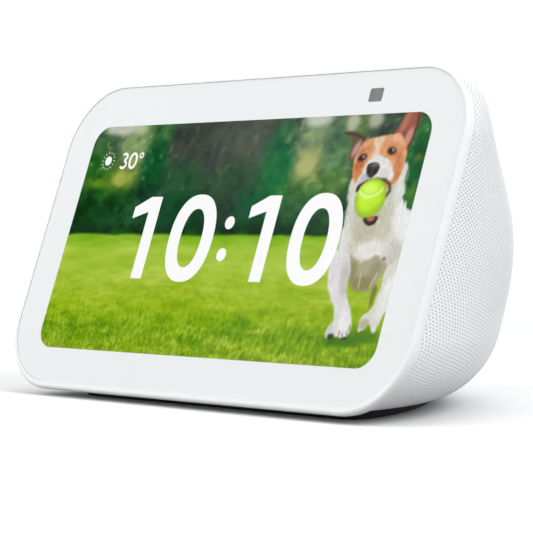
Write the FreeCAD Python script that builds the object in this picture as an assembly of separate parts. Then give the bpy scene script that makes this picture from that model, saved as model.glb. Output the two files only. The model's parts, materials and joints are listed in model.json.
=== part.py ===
import FreeCAD, Part
import math
import os

from FreeCAD import Placement, Rotation, Vector

# Smart display: a leaning front panel with a 5.5 inch screen, a fabric-covered
# wedge body behind it, three buttons and a camera shutter on the top ledge, one
# rear-facing speaker, and a rubber foot. Units are millimetres.
#
# Row frame: +X to the right as seen from the front, +Y backwards, +Z up. The
# origin is on the table, under the middle of the overall box.
#
# Panel frame, used for everything that leans with the panel: x across, v up the
# panel from its bottom edge, n outwards along the panel's normal (0 at the face).

os.makedirs("parts", exist_ok=True)

# Overall size
WIDTH = 147.6                 # panel width, the widest part
DEPTH = 92.0                  # foot of the panel to the back of the body
FACE_HEIGHT = 84.9            # along the leaning panel
TILT = 20.0                   # how far the panel leans back, degrees
GAP_UNDER_FACE = 3.0          # table to the panel's bottom edge
CORNER_R = 18.5               # corners of the panel

# Front panel
SCREEN_W = 125.0              # visible window
SCREEN_H = 62.5
SCREEN_R = 5.5
SCREEN_V = 41.5               # middle of the window, up the panel
RIM = 0.9                     # moulded rim around the lens
LENS_T = 0.94
PRINT_T = 0.06                # white layer printed behind the lens
BAND_DEPTH = 1.5              # outer band of the frame's edge
WEB_DEPTH = 2.1               # back of the web that carries the lens
RIDGE_DEPTH = 2.55            # raised ridge behind the band ends here
RIDGE_INSET = 0.45
LIP = 0.8                     # the frame reaches this far below the panel's bottom edge
SEAM_DEPTH = 2.6              # the body's front plane, behind the face
NECK_DEPTH = 5.0              # the frame's neck plugs this deep into the body
NECK_INSET = 3.9
NECK_WALL = 1.1
CAMERA_X = 41.4
CAMERA_V = 77.7
CAMERA_W = 4.5
CAMERA_H = 3.5

# Body of horizontal sections: the side profile's rear edge as (z, depth) points,
# and how full each section's side bulges
REAR_PROFILE = [(3.0, 80.9), (11.0, 89.4), (20.0, 92.0), (34.0, 89.7),
                (50.0, 81.4), (65.5, 69.0), (75.8, 58.2), (81.0, 49.4)]
FULLNESS = [(3.0, 0.46), (16.0, 0.45), (30.0, 0.55), (45.0, 0.63),
            (62.0, 0.54), (72.6, 0.535), (81.0, 0.88)]
REAR_FLATNESS = 0.38         # width of the rear crown
BODY_INSET = 0.5              # fabric stands this far inside the panel's outline
FABRIC_T = 1.0
SHELL_T = 2.2
CORNER_STEPS = (13.0, 25.0, 40.0, 62.0)

# Foot
FOOT_HALF_W = 50.0
FOOT_FRONT = 9.8              # behind the panel's bottom edge
FOOT_REAR = 78.5
FOOT_FULLNESS = 0.17
FOOT_FLATNESS = 0.48
FOOT_T = 2.2
FOOT_GROW = 0.6               # the rubber stands this far outside the base plate
FOOT_RECESS = 0.5

# Top ledge
LEDGE_Z = 81.75               # top of the ledge strip
LEDGE_T = 1.6
LEDGE_HALF_W = 57.0
SHELL_TOP_Z = 78.85           # top of the shell's wall below the ledge strip
SHELL_TOP_T = 1.8
BUTTON_Y = 38.7               # row of buttons, behind the panel's bottom edge
BUTTON_R = 3.9
BUTTON_X = {"mute_button": -15.0, "volume_down_button": 0.0, "volume_up_button": 15.0}
MIC_X = (-27.0, 27.0)
LIGHT_PIPE_X = -21.5
SHUTTER_TRAVEL = 7.0
SHUTTER_KNOB_W = 6.0

# Speaker
SPEAKER_Z = 40.0
SPEAKER_Y = 65.5              # rear face of the basket's flange
SPEAKER_R = 22.0

# Power inlet
JACK_Z = 13.0
JACK_FACE = 85.0
JACK_HALF_H = 4.0
JACK_BORE_R = 2.9
JACK_PIN_R = 0.825
JACK_SEAT_R = 1.4
JACK_HALF_W = 4.5
JACK_LENGTH = 12.0
JACK_BORE_DEPTH = 10.0

FRONT_Y = -DEPTH / 2.0        # row frame y of the panel's bottom edge
SIN = math.sin(math.radians(TILT))
COS = math.cos(math.radians(TILT))
PANEL = Placement(Vector(0, FRONT_Y, GAP_UNDER_FACE), Rotation(Vector(1, 0, 0), 90.0 - TILT))


# ---------------------------------------------------------------- helpers

def save(name, shape):
    """One named sub-part. A list becomes a group of separate solids."""
    if isinstance(shape, list):
        shape = Part.Compound(shape)
    shape.exportStep("parts/" + name + ".step")


def box(x0, x1, y0, y1, z0, z1):
    return Part.makeBox(x1 - x0, y1 - y0, z1 - z0, Vector(x0, y0, z0))


def cylinder(x, y, z, radius, height, axis=(0, 0, 1)):
    return Part.makeCylinder(radius, height, Vector(x, y, z), Vector(*axis))


def tube(x, y, z, outer, inner, height, axis=(0, 0, 1)):
    outside = cylinder(x, y, z, outer, height, axis)
    return outside.cut(cylinder(x, y, z, inner, height, axis))


def rounded(x0, x1, y0, y1, z0, z1, radius):
    """A box whose four upright edges are rounded."""
    block = box(x0, x1, y0, y1, z0, z1)
    upright = [e for e in block.Edges if abs(e.Vertexes[0].Z - e.Vertexes[1].Z) > 0.5 * (z1 - z0)]
    return block.makeFillet(radius, upright)


def plate(width, height, middle_v, n0, n1, radius, middle_x=0.0):
    """A rounded plate in the panel frame, from n0 up to n1."""
    return rounded(middle_x - width / 2.0, middle_x + width / 2.0,
                   middle_v - height / 2.0, middle_v + height / 2.0, n0, n1, radius)


def face_plate(inset, n0, n1, lip=0.0):
    """A plate of the panel's own outline, moved in by inset; its bottom edge is lip lower."""
    return plate(WIDTH - 2 * inset, FACE_HEIGHT + lip - 2 * inset, (FACE_HEIGHT - lip) / 2.0,
                 n0, n1, CORNER_R - inset)


def lean(shape):
    """From the panel frame to the row frame."""
    return shape.transformed(PANEL.toMatrix())


def edges_at(shape, n):
    """Edges that lie wholly at height n."""
    return [e for e in shape.Edges if all(abs(v.Z - n) < 1e-6 for v in e.Vertexes)
            and abs(e.BoundBox.ZLength) < 1e-6]


def spline_value(points, z):
    """Natural cubic spline through (z, value) points, evaluated at z."""
    count = len(points)
    steps = [points[i + 1][0] - points[i][0] for i in range(count - 1)]
    slopes = [(points[i + 1][1] - points[i][1]) / steps[i] for i in range(count - 1)]
    bend = [0.0] * count
    weight = [0.0] * count
    for i in range(1, count - 1):
        scale = 2.0 * (steps[i - 1] + steps[i]) - steps[i - 1] * weight[i - 1]
        weight[i] = steps[i] / scale
        bend[i] = (6.0 * (slopes[i] - slopes[i - 1]) - steps[i - 1] * bend[i - 1]) / scale
    for i in range(count - 2, 0, -1):
        bend[i] -= weight[i] * bend[i + 1]
    span = 0
    while span < count - 2 and z > points[span + 1][0]:
        span += 1
    h = steps[span]
    left = points[span + 1][0] - z
    right = z - points[span][0]
    return ((bend[span] * left ** 3 + bend[span + 1] * right ** 3) / (6.0 * h)
            + (points[span][1] / h - bend[span] * h / 6.0) * left
            + (points[span + 1][1] / h - bend[span + 1] * h / 6.0) * right)


# ---------------------------------------------------------------- the body's form

def level(v):
    """Height of the body's front plane at v up the panel."""
    return GAP_UNDER_FACE + v * COS - SEAM_DEPTH * SIN


def front_depth(z):
    """Depth of the body's front plane at height z, from the panel's bottom edge."""
    v = (z - GAP_UNDER_FACE + SEAM_DEPTH * SIN) / COS
    return v * SIN + SEAM_DEPTH * COS


def d_outline(z, half, start, rear, fullness, front, flatness=REAR_FLATNESS):
    """A flat-fronted, round-backed outline at height z. start, rear and front are
    depths behind the panel's bottom edge."""
    span = rear - start
    points = [(half, start), (half, start + fullness * span), (flatness * half, rear), (0.0, rear)]
    right = Part.BezierCurve()
    right.setPoles([Vector(x, y + FRONT_Y, z) for x, y in points])
    left = Part.BezierCurve()
    left.setPoles([Vector(-x, y + FRONT_Y, z) for x, y in reversed(points)])
    corners = [Vector(x, y + FRONT_Y, z) for x, y in
               ((-half, start), (-half, front), (half, front), (half, start))]
    sides = [Part.makeLine(corners[i], corners[i + 1]) for i in range(3)]
    return Part.Wire([sides[0], sides[1], sides[2], right.toShape(), left.toShape()])


def body_form(inset):
    """The wedge body moved in by inset, running forwards past its front plane."""
    margin = BODY_INSET + inset
    radius = CORNER_R - margin
    straight = FACE_HEIGHT - 2.0 * CORNER_R
    heights = []
    for angle in CORNER_STEPS:
        drop = radius * (1.0 - math.cos(math.radians(angle)))
        half = WIDTH / 2.0 - CORNER_R + radius * math.sin(math.radians(angle))
        heights.append((margin + drop, half))
        heights.append((FACE_HEIGHT - margin - drop, half))
    for part in (0.0, 0.25, 0.5, 0.75, 1.0):
        heights.append((CORNER_R + part * straight, WIDTH / 2.0 - margin))
    wires = []
    for v, half in sorted(heights):
        z = level(v)
        start = front_depth(z)
        rear = spline_value(REAR_PROFILE, z) - inset
        wires.append(d_outline(z, half, start, rear, spline_value(FULLNESS, z), start - 12.0))
    return Part.makeLoft(wires, True, False)


def behind_front(shape):
    """Keeps what lies behind the body's front plane."""
    ahead = lean(box(-100, 100, -60, 150, -SEAM_DEPTH, 60))
    return shape.cut(ahead)


def foot_outline(grow, z0, z1):
    front = FOOT_FRONT - grow
    wire = d_outline(z0, FOOT_HALF_W + grow, front + 6.0, FOOT_REAR + grow, FOOT_FULLNESS, front,
                     FOOT_FLATNESS)
    block = Part.Face(wire).extrude(Vector(0, 0, z1 - z0))
    upright = [e for e in block.Edges if e.BoundBox.ZLength > 0.9 * (z1 - z0)
               and abs(e.BoundBox.YMax - (FRONT_Y + front)) < 0.01]
    return block.makeFillet(5.0, upright)


def top_outline(grow, z0, z1):
    """The ledge strip's outline, as the body's top section moved in."""
    z = LEDGE_Z - 0.9
    front = front_depth(z) - grow
    rear = spline_value(REAR_PROFILE, z) - 2.4 + grow
    wire = d_outline(z0, LEDGE_HALF_W + grow, front + 2.0, rear, 0.9, front)
    return Part.Face(wire).extrude(Vector(0, 0, z1 - z0))


OUTSIDE = behind_front(body_form(0.0))
UNDER_FABRIC_RAW = body_form(FABRIC_T)
UNDER_FABRIC = behind_front(UNDER_FABRIC_RAW)
INSIDE = body_form(FABRIC_T + SHELL_T)


# ---------------------------------------------------------------- front panel

SCREEN_OPENING_W = 128.0
SCREEN_OPENING_H = 64.6
SCREEN_OPENING_R = 1.6
GASKET_W = 130.4
GASKET_H = 65.8
TRAY_SCREWS = [(x, v) for x in (-66.7, 66.7) for v in (24.0, 60.0)]


def make_front_frame():
    band = face_plate(0.0, -BAND_DEPTH, 0.0, LIP)
    band = band.makeFillet(0.85, edges_at(band, 0.0))
    band = band.makeFillet(0.2, edges_at(band, -BAND_DEPTH))
    ridge = face_plate(RIDGE_INSET, -RIDGE_DEPTH, -BAND_DEPTH + 0.3, LIP)
    ridge = ridge.cut(face_plate(NECK_INSET, -RIDGE_DEPTH, -WEB_DEPTH))
    neck = face_plate(NECK_INSET, -NECK_DEPTH, -WEB_DEPTH + 0.3)
    neck = neck.cut(face_plate(NECK_INSET + NECK_WALL, -NECK_DEPTH, -WEB_DEPTH))
    frame = band.fuse([ridge, neck])
    frame = frame.cut(face_plate(RIM, -LENS_T - PRINT_T, 1.0))
    frame = frame.cut(plate(SCREEN_OPENING_W, SCREEN_OPENING_H, SCREEN_V, -6.0, 1.0, SCREEN_OPENING_R))
    for x, v in TRAY_SCREWS:
        frame = frame.fuse(cylinder(x, v, -4.5, 1.4, 2.6))
        frame = frame.cut(cylinder(x, v, -5.0, 0.6, 3.4))
    frame = frame.cut(rounded(CAMERA_X - 2.8, CAMERA_X + 2.8, CAMERA_V - 2.0, CAMERA_V + 2.0,
                              -3.0, 0.0, 0.5))
    # notch in the neck for the shutter's arm
    frame = frame.cut(box(37.0, 53.0, CAMERA_V + 1.2, CAMERA_V + 4.2, -NECK_DEPTH, -WEB_DEPTH - 0.1))
    return lean(frame.removeSplitter())


def make_lens():
    lens = face_plate(RIM + 0.05, -LENS_T, 0.0)
    return lean(lens.makeFillet(0.12, edges_at(lens, 0.0)))


def make_border_print():
    layer = face_plate(RIM + 0.3, -LENS_T - PRINT_T, -LENS_T)
    layer = layer.cut(plate(SCREEN_W, SCREEN_H, SCREEN_V, -2.0, 0.0, SCREEN_R))
    layer = layer.cut(plate(CAMERA_W, CAMERA_H, CAMERA_V, -2.0, 0.0, 0.5, CAMERA_X))
    return lean(layer)


def make_display_gasket():
    ring = plate(GASKET_W, GASKET_H, SCREEN_V, -4.5, -WEB_DEPTH, 2.0)
    return lean(ring.cut(plate(GASKET_W - 2.0, GASKET_H - 1.0, SCREEN_V, -5.0, -1.0, 1.4)))


def make_display_tray():
    tray = plate(GASKET_W, GASKET_H, SCREEN_V, -5.3, -4.5, 2.0)
    for x, v in TRAY_SCREWS:
        ear = box(min(x, 0.9 * x), max(x, 0.9 * x), v - 1.4, v + 1.4, -5.3, -4.5)
        tray = tray.fuse([ear, cylinder(x, v, -5.3, 1.4, 0.8)])
        tray = tray.cut(cylinder(x, v, -6.0, 0.75, 3.0))
    # pressed stiffening beads along the tray
    for v in (30.0, 53.0):
        tray = tray.cut(plate(70.0, 2.4, v, -5.31, -4.95, 1.1))
    tray = tray.cut(box(-13.0, 13.0, 11.2, 13.2, -6.0, -4.0))
    return lean(tray.removeSplitter())


def screw(x, v, seat, tip, head_r, shank_r, head_h):
    """A pan-head screw in the panel frame, driven towards +n, with a cross slot."""
    body = cylinder(x, v, seat - head_h, head_r, head_h)
    body = body.makeFillet(0.25 * head_h, edges_at(body, seat - head_h))
    body = body.fuse(cylinder(x, v, seat, shank_r, tip - seat))
    for wide, tall in ((1.3, 0.3), (0.3, 1.3)):
        body = body.cut(box(x - wide / 2, x + wide / 2, v - tall / 2, v + tall / 2,
                            seat - head_h - 0.1, seat - 0.4 * head_h))
    return body


save("front_frame", make_front_frame())
save("cover_lens", make_lens())
save("border_print", make_border_print())
save("touch_sensor", lean(plate(127.4, 64.2, SCREEN_V, -1.3, -1.0, 3.0)))
save("lcd_panel", lean(plate(127.4, 64.2, SCREEN_V, -2.3, -1.3, 1.0)))
save("backlight_unit", lean(plate(127.4, 64.2, SCREEN_V, -4.5, -2.3, 1.0)))
save("display_gasket", make_display_gasket())
save("display_tray", make_display_tray())
save("tray_screws", [lean(screw(x, v, -5.3, -2.6, 1.35, 0.6, 0.8)) for x, v in TRAY_SCREWS])


# ---------------------------------------------------------------- camera and shutter

BLADE_X = CAMERA_X + SHUTTER_TRAVEL
KNOB_Y = 35.3


def make_camera_module():
    body = plate(6.0, 4.4, CAMERA_V, -6.6, -3.4, 0.4, CAMERA_X)
    barrel = cylinder(CAMERA_X, CAMERA_V, -3.4, 1.9, 0.5)
    module = body.fuse(barrel)
    return lean(module.cut(cylinder(CAMERA_X, CAMERA_V, -3.3, 1.35, 1.0)).removeSplitter())


def make_camera_lens():
    disc = cylinder(CAMERA_X, CAMERA_V, -3.3, 1.35, 0.3)
    return lean(disc.makeFillet(0.12, edges_at(disc, -3.0)))


def make_shutter():
    """Blade behind the lens, and an arm that reaches back below the ledge."""
    blade = plate(6.2, 5.1, CAMERA_V + 0.55, -2.75, -2.35, 0.4, BLADE_X)
    arm = box(BLADE_X - 2.0, BLADE_X + 2.0, CAMERA_V + 2.5, CAMERA_V + 3.4, -9.7, -2.35)
    return lean(blade.fuse(arm).removeSplitter())


def make_shutter_knob():
    x0 = BLADE_X - SHUTTER_KNOB_W / 2.0
    y0 = FRONT_Y + KNOB_Y - 1.3
    knob = rounded(x0, x0 + SHUTTER_KNOB_W, y0, y0 + 2.6, LEDGE_Z - 0.6, LEDGE_Z + 0.9, 1.2)
    knob = knob.makeFillet(0.3, edges_at(knob, LEDGE_Z + 0.9))
    for i in range(-2, 3):
        knob = knob.cut(box(BLADE_X + 0.9 * i - 0.15, BLADE_X + 0.9 * i + 0.15,
                            y0 + 0.5, y0 + 2.1, LEDGE_Z + 0.7, LEDGE_Z + 1.0))
    post = box(BLADE_X - 1.5, BLADE_X + 1.5, y0 + 0.5, y0 + 2.1, LEDGE_Z - 5.8, LEDGE_Z - 0.6)
    return knob.fuse(post).cut(make_shutter()).removeSplitter()


save("camera_module", make_camera_module())
save("camera_lens", make_camera_lens())
save("shutter_blade", make_shutter())
save("shutter_knob", make_shutter_knob())


# ---------------------------------------------------------------- body

BOSS_POINTS = [(-34.0, 22.0), (34.0, 22.0), (-19.0, 56.0), (19.0, 56.0)]
GRILLE_PITCH = 3.0
GRILLE_SLOT = 1.5
GRILLE_R = 17.5
BASE_TOP = 3.9                # the base plate meets the shell's floor here
BOSS_TOP = 13.0
PORT_TRIM_R = 4.3
MAGNET_X = (-15.0, 15.0)
MAGNET_Y = FRONT_Y + 38.0
MAGNET_R = 5.0
MAGNET_T = 2.0
MAGNET_Z = 3.0


def ledge_cut(shape, clearance, z0, z1):
    """Holes for the buttons, microphones, light pipe and shutter post."""
    cutters = [cylinder(x, FRONT_Y + BUTTON_Y, z0, clearance["button"], z1 - z0)
               for x in BUTTON_X.values()]
    cutters += [cylinder(x, FRONT_Y + BUTTON_Y, z0, clearance["mic"], z1 - z0) for x in MIC_X]
    cutters.append(cylinder(LIGHT_PIPE_X, FRONT_Y + BUTTON_Y, z0, clearance["pipe"], z1 - z0))
    wide = clearance["shutter_w"] / 2.0
    deep = clearance["shutter_d"] / 2.0
    y = FRONT_Y + KNOB_Y
    cutters.append(box(BLADE_X - SHUTTER_TRAVEL - wide, BLADE_X + wide, y - deep, y + deep, z0, z1))
    return shape.cut(cutters)


def make_ledge_strip():
    strip = top_outline(0.0, SHELL_TOP_Z, LEDGE_Z)
    strip = strip.makeFillet(0.3, edges_at(strip, LEDGE_Z))
    hollow = top_outline(-1.2, SHELL_TOP_Z, LEDGE_Z - LEDGE_T)
    strip = strip.cut(hollow)
    holes = {"button": BUTTON_R + 0.15, "mic": 0.45, "pipe": 0.65, "shutter_w": 6.6, "shutter_d": 3.2}
    strip = ledge_cut(strip, holes, SHELL_TOP_Z - 1.0, LEDGE_Z + 1.0)
    return behind_front(strip)


def make_fabric_cover():
    cover = OUTSIDE.cut(UNDER_FABRIC_RAW)
    cover = cover.cut(top_outline(0.15, SHELL_TOP_Z - 1.0, LEDGE_Z + 1.0))
    cover = cover.cut(foot_outline(0.2, 0.0, 8.0))
    return cover.cut(cylinder(0, FRONT_Y + 80.0, JACK_Z, PORT_TRIM_R + 0.1, 15.0, (0, 1, 0)))


def make_rear_shell():
    shell = UNDER_FABRIC.cut(INSIDE)
    top = box(-70, 70, FRONT_Y, -FRONT_Y, SHELL_TOP_Z - SHELL_TOP_T, SHELL_TOP_Z)
    # the speaker's mounting ring reaches back to the wall
    ring = tube(0, FRONT_Y + SPEAKER_Y + 1.5, SPEAKER_Z, SPEAKER_R + 0.5, 18.5, 30.0, (0, 1, 0))
    jack_block = box(-6.5, 6.5, FRONT_Y + JACK_FACE - 6.0, -FRONT_Y, JACK_Z - 6.0, JACK_Z + 5.9)
    extras = [top, ring, jack_block]
    extras += [cylinder(x, FRONT_Y + y, BASE_TOP, 2.4, BOSS_TOP - BASE_TOP) for x, y in BOSS_POINTS]
    extras = [extra.common(UNDER_FABRIC) for extra in extras]
    shell = shell.fuse(extras)
    shell = shell.cut(top_outline(0.1, SHELL_TOP_Z, LEDGE_Z + 1.0))
    shell = shell.cut(lean(face_plate(NECK_INSET - 0.1, -NECK_DEPTH - 0.1, 0.0)))
    shell = shell.cut(lean(box(BLADE_X - SHUTTER_TRAVEL - 2.5, BLADE_X + 2.5,
                               CAMERA_V + 2.0, CAMERA_V + 3.9, -10.4, -1.0)))
    shell = shell.cut(box(-JACK_HALF_W - 0.05, JACK_HALF_W + 0.05, FRONT_Y + 60.0, FRONT_Y + JACK_FACE,
                          JACK_Z - JACK_HALF_H - 0.05, JACK_Z + JACK_HALF_H + 0.05))
    shell = shell.cut(foot_outline(0.2, 0.0, BASE_TOP))
    shell = shell.cut([cylinder(x, FRONT_Y + y, 0.0, 0.8, BOSS_TOP - 1.0) for x, y in BOSS_POINTS])
    shell = shell.cut([cylinder(x, MAGNET_Y, 0.0, MAGNET_R + 0.1, MAGNET_Z + MAGNET_T) for x in MAGNET_X])
    holes = {"button": 1.8, "mic": 0.8, "pipe": 0.65, "shutter_w": 3.6, "shutter_d": 2.4}
    shell = ledge_cut(shell, holes, SHELL_TOP_Z - 3.0, SHELL_TOP_Z + 1.0)
    slots = []
    count = int(GRILLE_R // GRILLE_PITCH)
    for i in range(-count, count + 1):
        reach = math.sqrt(GRILLE_R ** 2 - (i * GRILLE_PITCH) ** 2)
        slots.append(box(i * GRILLE_PITCH - GRILLE_SLOT / 2, i * GRILLE_PITCH + GRILLE_SLOT / 2,
                         FRONT_Y + SPEAKER_Y + 3.0, -FRONT_Y + 1.0,
                         SPEAKER_Z - reach, SPEAKER_Z + reach))
    shell = shell.cut(slots)
    return shell.cut(cylinder(0, FRONT_Y + 80.0, JACK_Z, PORT_TRIM_R, 15.0, (0, 1, 0)))


def make_port_trim():
    trim = tube(0, FRONT_Y + JACK_FACE, JACK_Z, PORT_TRIM_R - 0.05, 3.4, 12.0, (0, 1, 0))
    return trim.common(OUTSIDE)


def make_base_plate():
    base = foot_outline(0.0, FOOT_T, BASE_TOP)
    base = base.cut([cylinder(x, FRONT_Y + y, 0.0, 1.1, 12.0) for x, y in BOSS_POINTS])
    base = base.cut([cylinder(x, FRONT_Y + y, FOOT_T, 2.2, 1.1) for x, y in BOSS_POINTS])
    return base.cut([cylinder(x, MAGNET_Y, MAGNET_Z, MAGNET_R + 0.1, 5.0) for x in MAGNET_X])


def make_rubber_foot():
    pad = foot_outline(FOOT_GROW, 0.0, FOOT_T)
    pad = pad.makeFillet(0.5, edges_at(pad, 0.0))
    # a shallow recess leaves a raised rim that grips the table
    return pad.cut(foot_outline(-6.0, 0.0, FOOT_RECESS))


def make_base_screws():
    screws = []
    for x, y in BOSS_POINTS:
        head = cylinder(x, FRONT_Y + y, FOOT_T + 0.1, 2.1, 1.0)
        shank = cylinder(x, FRONT_Y + y, FOOT_T + 1.1, 0.8, 8.0)
        body = head.fuse(shank)
        for wide, tall in ((2.2, 0.5), (0.5, 2.2)):
            body = body.cut(box(x - wide / 2, x + wide / 2, FRONT_Y + y - tall / 2,
                                FRONT_Y + y + tall / 2, FOOT_T, FOOT_T + 0.7))
        screws.append(body)
    return screws


save("ledge_strip", make_ledge_strip())
save("fabric_cover", make_fabric_cover())
save("rear_shell", make_rear_shell())
save("port_trim", make_port_trim())
save("base_plate", make_base_plate())
save("rubber_foot", make_rubber_foot())
save("base_screws", make_base_screws())
save("base_magnets", [cylinder(x, MAGNET_Y, MAGNET_Z, MAGNET_R, MAGNET_T) for x in MAGNET_X])


# ---------------------------------------------------------------- buttons

BOARD_Z = 73.25               # button board, underside
BOARD_T = 1.0
BOARD_POSTS = (-35.0, 31.5)
FLANGE_Z = 79.35


def make_button(name, x):
    y = FRONT_Y + BUTTON_Y
    top = LEDGE_Z + 0.5
    cap = cylinder(x, y, FLANGE_Z + 0.5, BUTTON_R, top - FLANGE_Z - 0.5)
    cap = cap.makeFillet(0.4, edges_at(cap, top))
    body = cap.fuse([cylinder(x, y, FLANGE_Z, BUTTON_R + 0.6, 0.5),
                     cylinder(x, y, FLANGE_Z - 2.2, 1.4, 2.2)])
    if name == "mute_button":
        mark = tube(x, y, top - 0.15, 1.5, 1.15, 1.0)
    else:
        mark = box(x - 1.4, x + 1.4, y - 0.18, y + 0.18, top - 0.15, top + 1.0)
    body = body.cut(mark)
    if name == "volume_up_button":
        body = body.cut(box(x - 0.18, x + 0.18, y - 1.4, y + 1.4, top - 0.15, top + 1.0))
    return body.removeSplitter()


def make_button_board():
    y = FRONT_Y + BUTTON_Y
    board = rounded(-38.0, 34.0, y - 4.4, y + 4.4, BOARD_Z, BOARD_Z + BOARD_T, 1.0)
    return board.cut([cylinder(x, y, BOARD_Z - 1.0, 0.9, 3.0) for x in BOARD_POSTS])


def make_board_posts():
    y = FRONT_Y + BUTTON_Y
    z = BOARD_Z + BOARD_T
    return [tube(x, y, z, 1.9, 0.7, SHELL_TOP_Z - SHELL_TOP_T - z) for x in BOARD_POSTS]


def make_board_screws():
    y = FRONT_Y + BUTTON_Y
    return [cylinder(x, y, BOARD_Z - 0.9, 1.4, 0.9).fuse(cylinder(x, y, BOARD_Z, 0.7, 3.7))
            for x in BOARD_POSTS]


def make_switches():
    y = FRONT_Y + BUTTON_Y
    z = BOARD_Z + BOARD_T
    return [box(x - 2.0, x + 2.0, y - 2.0, y + 2.0, z, z + 1.7).fuse(
        cylinder(x, y, z + 1.7, 0.9, 0.7)) for x in BUTTON_X.values()]


def make_microphones():
    y = FRONT_Y + BUTTON_Y
    z = BOARD_Z + BOARD_T
    return [box(x - 1.5, x + 1.5, y - 2.0, y + 2.0, z, z + 1.0).cut(
        cylinder(x, y, z + 0.7, 0.4, 1.0)) for x in MIC_X]


def make_mic_gaskets():
    y = FRONT_Y + BUTTON_Y
    z = BOARD_Z + BOARD_T + 1.0
    return [tube(x, y, z, 2.0, 0.6, SHELL_TOP_Z - SHELL_TOP_T - z) for x in MIC_X]


for button, place in BUTTON_X.items():
    save(button, make_button(button, place))
save("button_board", make_button_board())
save("button_board_posts", make_board_posts())
save("button_board_screws", make_board_screws())
save("tact_switches", make_switches())
save("microphones", make_microphones())
save("mic_gaskets", make_mic_gaskets())
save("mute_light_pipe", cylinder(LIGHT_PIPE_X, FRONT_Y + BUTTON_Y, BOARD_Z + 2.2, 0.6,
                                  LEDGE_Z - BOARD_Z - 2.2))


# ---------------------------------------------------------------- electronics

MAIN_N = -11.0                # front face of the main board
MAIN_T = 1.2
STANDOFFS = [(x, v) for x in (-42.0, 42.0) for v in (17.0, 66.0)]


def make_main_board():
    board = plate(92.0, 57.0, SCREEN_V, MAIN_N - MAIN_T, MAIN_N, 2.0)
    return lean(board.cut([cylinder(x, v, -20.0, 1.1, 20.0) for x, v in STANDOFFS]))


def make_shield_can():
    can = plate(40.0, 30.0, 45.0, MAIN_N - MAIN_T - 2.2, MAIN_N - MAIN_T, 1.0)
    can = can.makeFillet(0.5, edges_at(can, MAIN_N - MAIN_T - 2.2))
    return lean(can.cut(plate(39.4, 29.4, 45.0, MAIN_N - MAIN_T - 1.9, MAIN_N - MAIN_T, 0.8)))


def make_chips():
    floor = MAIN_N - MAIN_T
    chips = [(-8.0, 46.0, 13.0, 13.0, 1.4), (9.0, 50.0, 10.0, 11.0, 1.1), (9.0, 38.0, 8.0, 8.0, 0.9)]
    return [lean(plate(w, h, v, floor - t, floor, 0.3, x)) for x, v, w, h, t in chips]


def make_connectors():
    floor = MAIN_N - MAIN_T
    parts = [(-12.0, 20.0, 7.0, 4.0, 2.4), (-34.5, 58.0, 8.0, 4.0, 2.4), (0.0, 20.0, 6.0, 5.0, 3.0)]
    return [lean(plate(w, h, v, floor - t, floor, 0.3, x)) for x, v, w, h, t in parts]


save("main_board", make_main_board())
save("board_standoffs", [lean(cylinder(x, v, MAIN_N, 2.2, -5.3 - MAIN_N)) for x, v in STANDOFFS])
save("board_screws", [lean(screw(x, v, MAIN_N - MAIN_T, MAIN_N, 2.0, 1.0, 1.1)) for x, v in STANDOFFS])
save("shield_can", make_shield_can())
save("processor_chips", make_chips())
save("board_connectors", make_connectors())
save("thermal_pad", lean(plate(26.0, 20.0, 45.0, MAIN_N - MAIN_T - 2.9, MAIN_N - MAIN_T - 2.2, 1.0)))
save("heat_spreader", lean(plate(58.0, 36.0, 46.0, MAIN_N - MAIN_T - 3.7, MAIN_N - MAIN_T - 2.9, 2.0)))


# ---------------------------------------------------------------- speaker

AXIS = (0, 1, 0)
FLANGE_Y = FRONT_Y + SPEAKER_Y            # rear face of the flange


def turned(profile):
    """A ring turned about the speaker's axis from (radius, distance behind the
    flange's rear face) points; distances run forwards from the flange."""
    points = [Vector(r, FLANGE_Y - d, SPEAKER_Z) for r, d in profile]
    points.append(points[0])
    face = Part.Face(Part.makePolygon(points))
    return face.revolve(Vector(0, 0, SPEAKER_Z), Vector(0, 1, 0), 360)


def make_basket():
    basket = turned([(18.6, 0.0), (22.0, 0.0), (22.0, 1.4), (20.0, 1.4), (14.2, 9.0), (14.2, 10.6),
                     (5.9, 10.6), (5.9, 9.6), (13.0, 9.6), (13.0, 8.6), (18.6, 1.4)])
    windows = []
    for turn in range(6):
        window = box(15.0, 19.5, FLANGE_Y - 8.0, FLANGE_Y - 2.6, SPEAKER_Z - 4.5, SPEAKER_Z + 4.5)
        window.rotate(Vector(0, 0, SPEAKER_Z), Vector(0, 1, 0), 60.0 * turn)
        windows.append(window)
    return basket.cut(windows)


def make_surround():
    ring = Part.makeTorus(16.9, 1.6, Vector(0, FLANGE_Y - 0.2, SPEAKER_Z), Vector(*AXIS))
    ring = ring.cut(Part.makeTorus(16.9, 1.25, Vector(0, FLANGE_Y - 0.2, SPEAKER_Z), Vector(*AXIS)))
    return ring.cut(box(-30, 30, FLANGE_Y - 20, FLANGE_Y - 0.2, 0, 80))


def make_dust_cap():
    ball = Part.makeSphere(8.0, Vector(0, FLANGE_Y - 11.2, SPEAKER_Z))
    ball = ball.cut(Part.makeSphere(7.7, Vector(0, FLANGE_Y - 11.2, SPEAKER_Z)))
    return ball.common(cylinder(0, FLANGE_Y - 6.1, SPEAKER_Z, 6.3, 10.0, AXIS))


CONE = [(5.5, 7.0), (5.5, 6.5), (15.2, 0.6), (15.2, 1.1)]
SPIDER = [(5.5, 8.2), (6.7, 7.8), (7.9, 8.2), (9.1, 7.8), (10.3, 8.2), (12.9, 8.2),
          (12.9, 8.5), (10.2, 8.5), (9.1, 8.1), (7.9, 8.5), (6.7, 8.1), (5.5, 8.5)]

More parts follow.
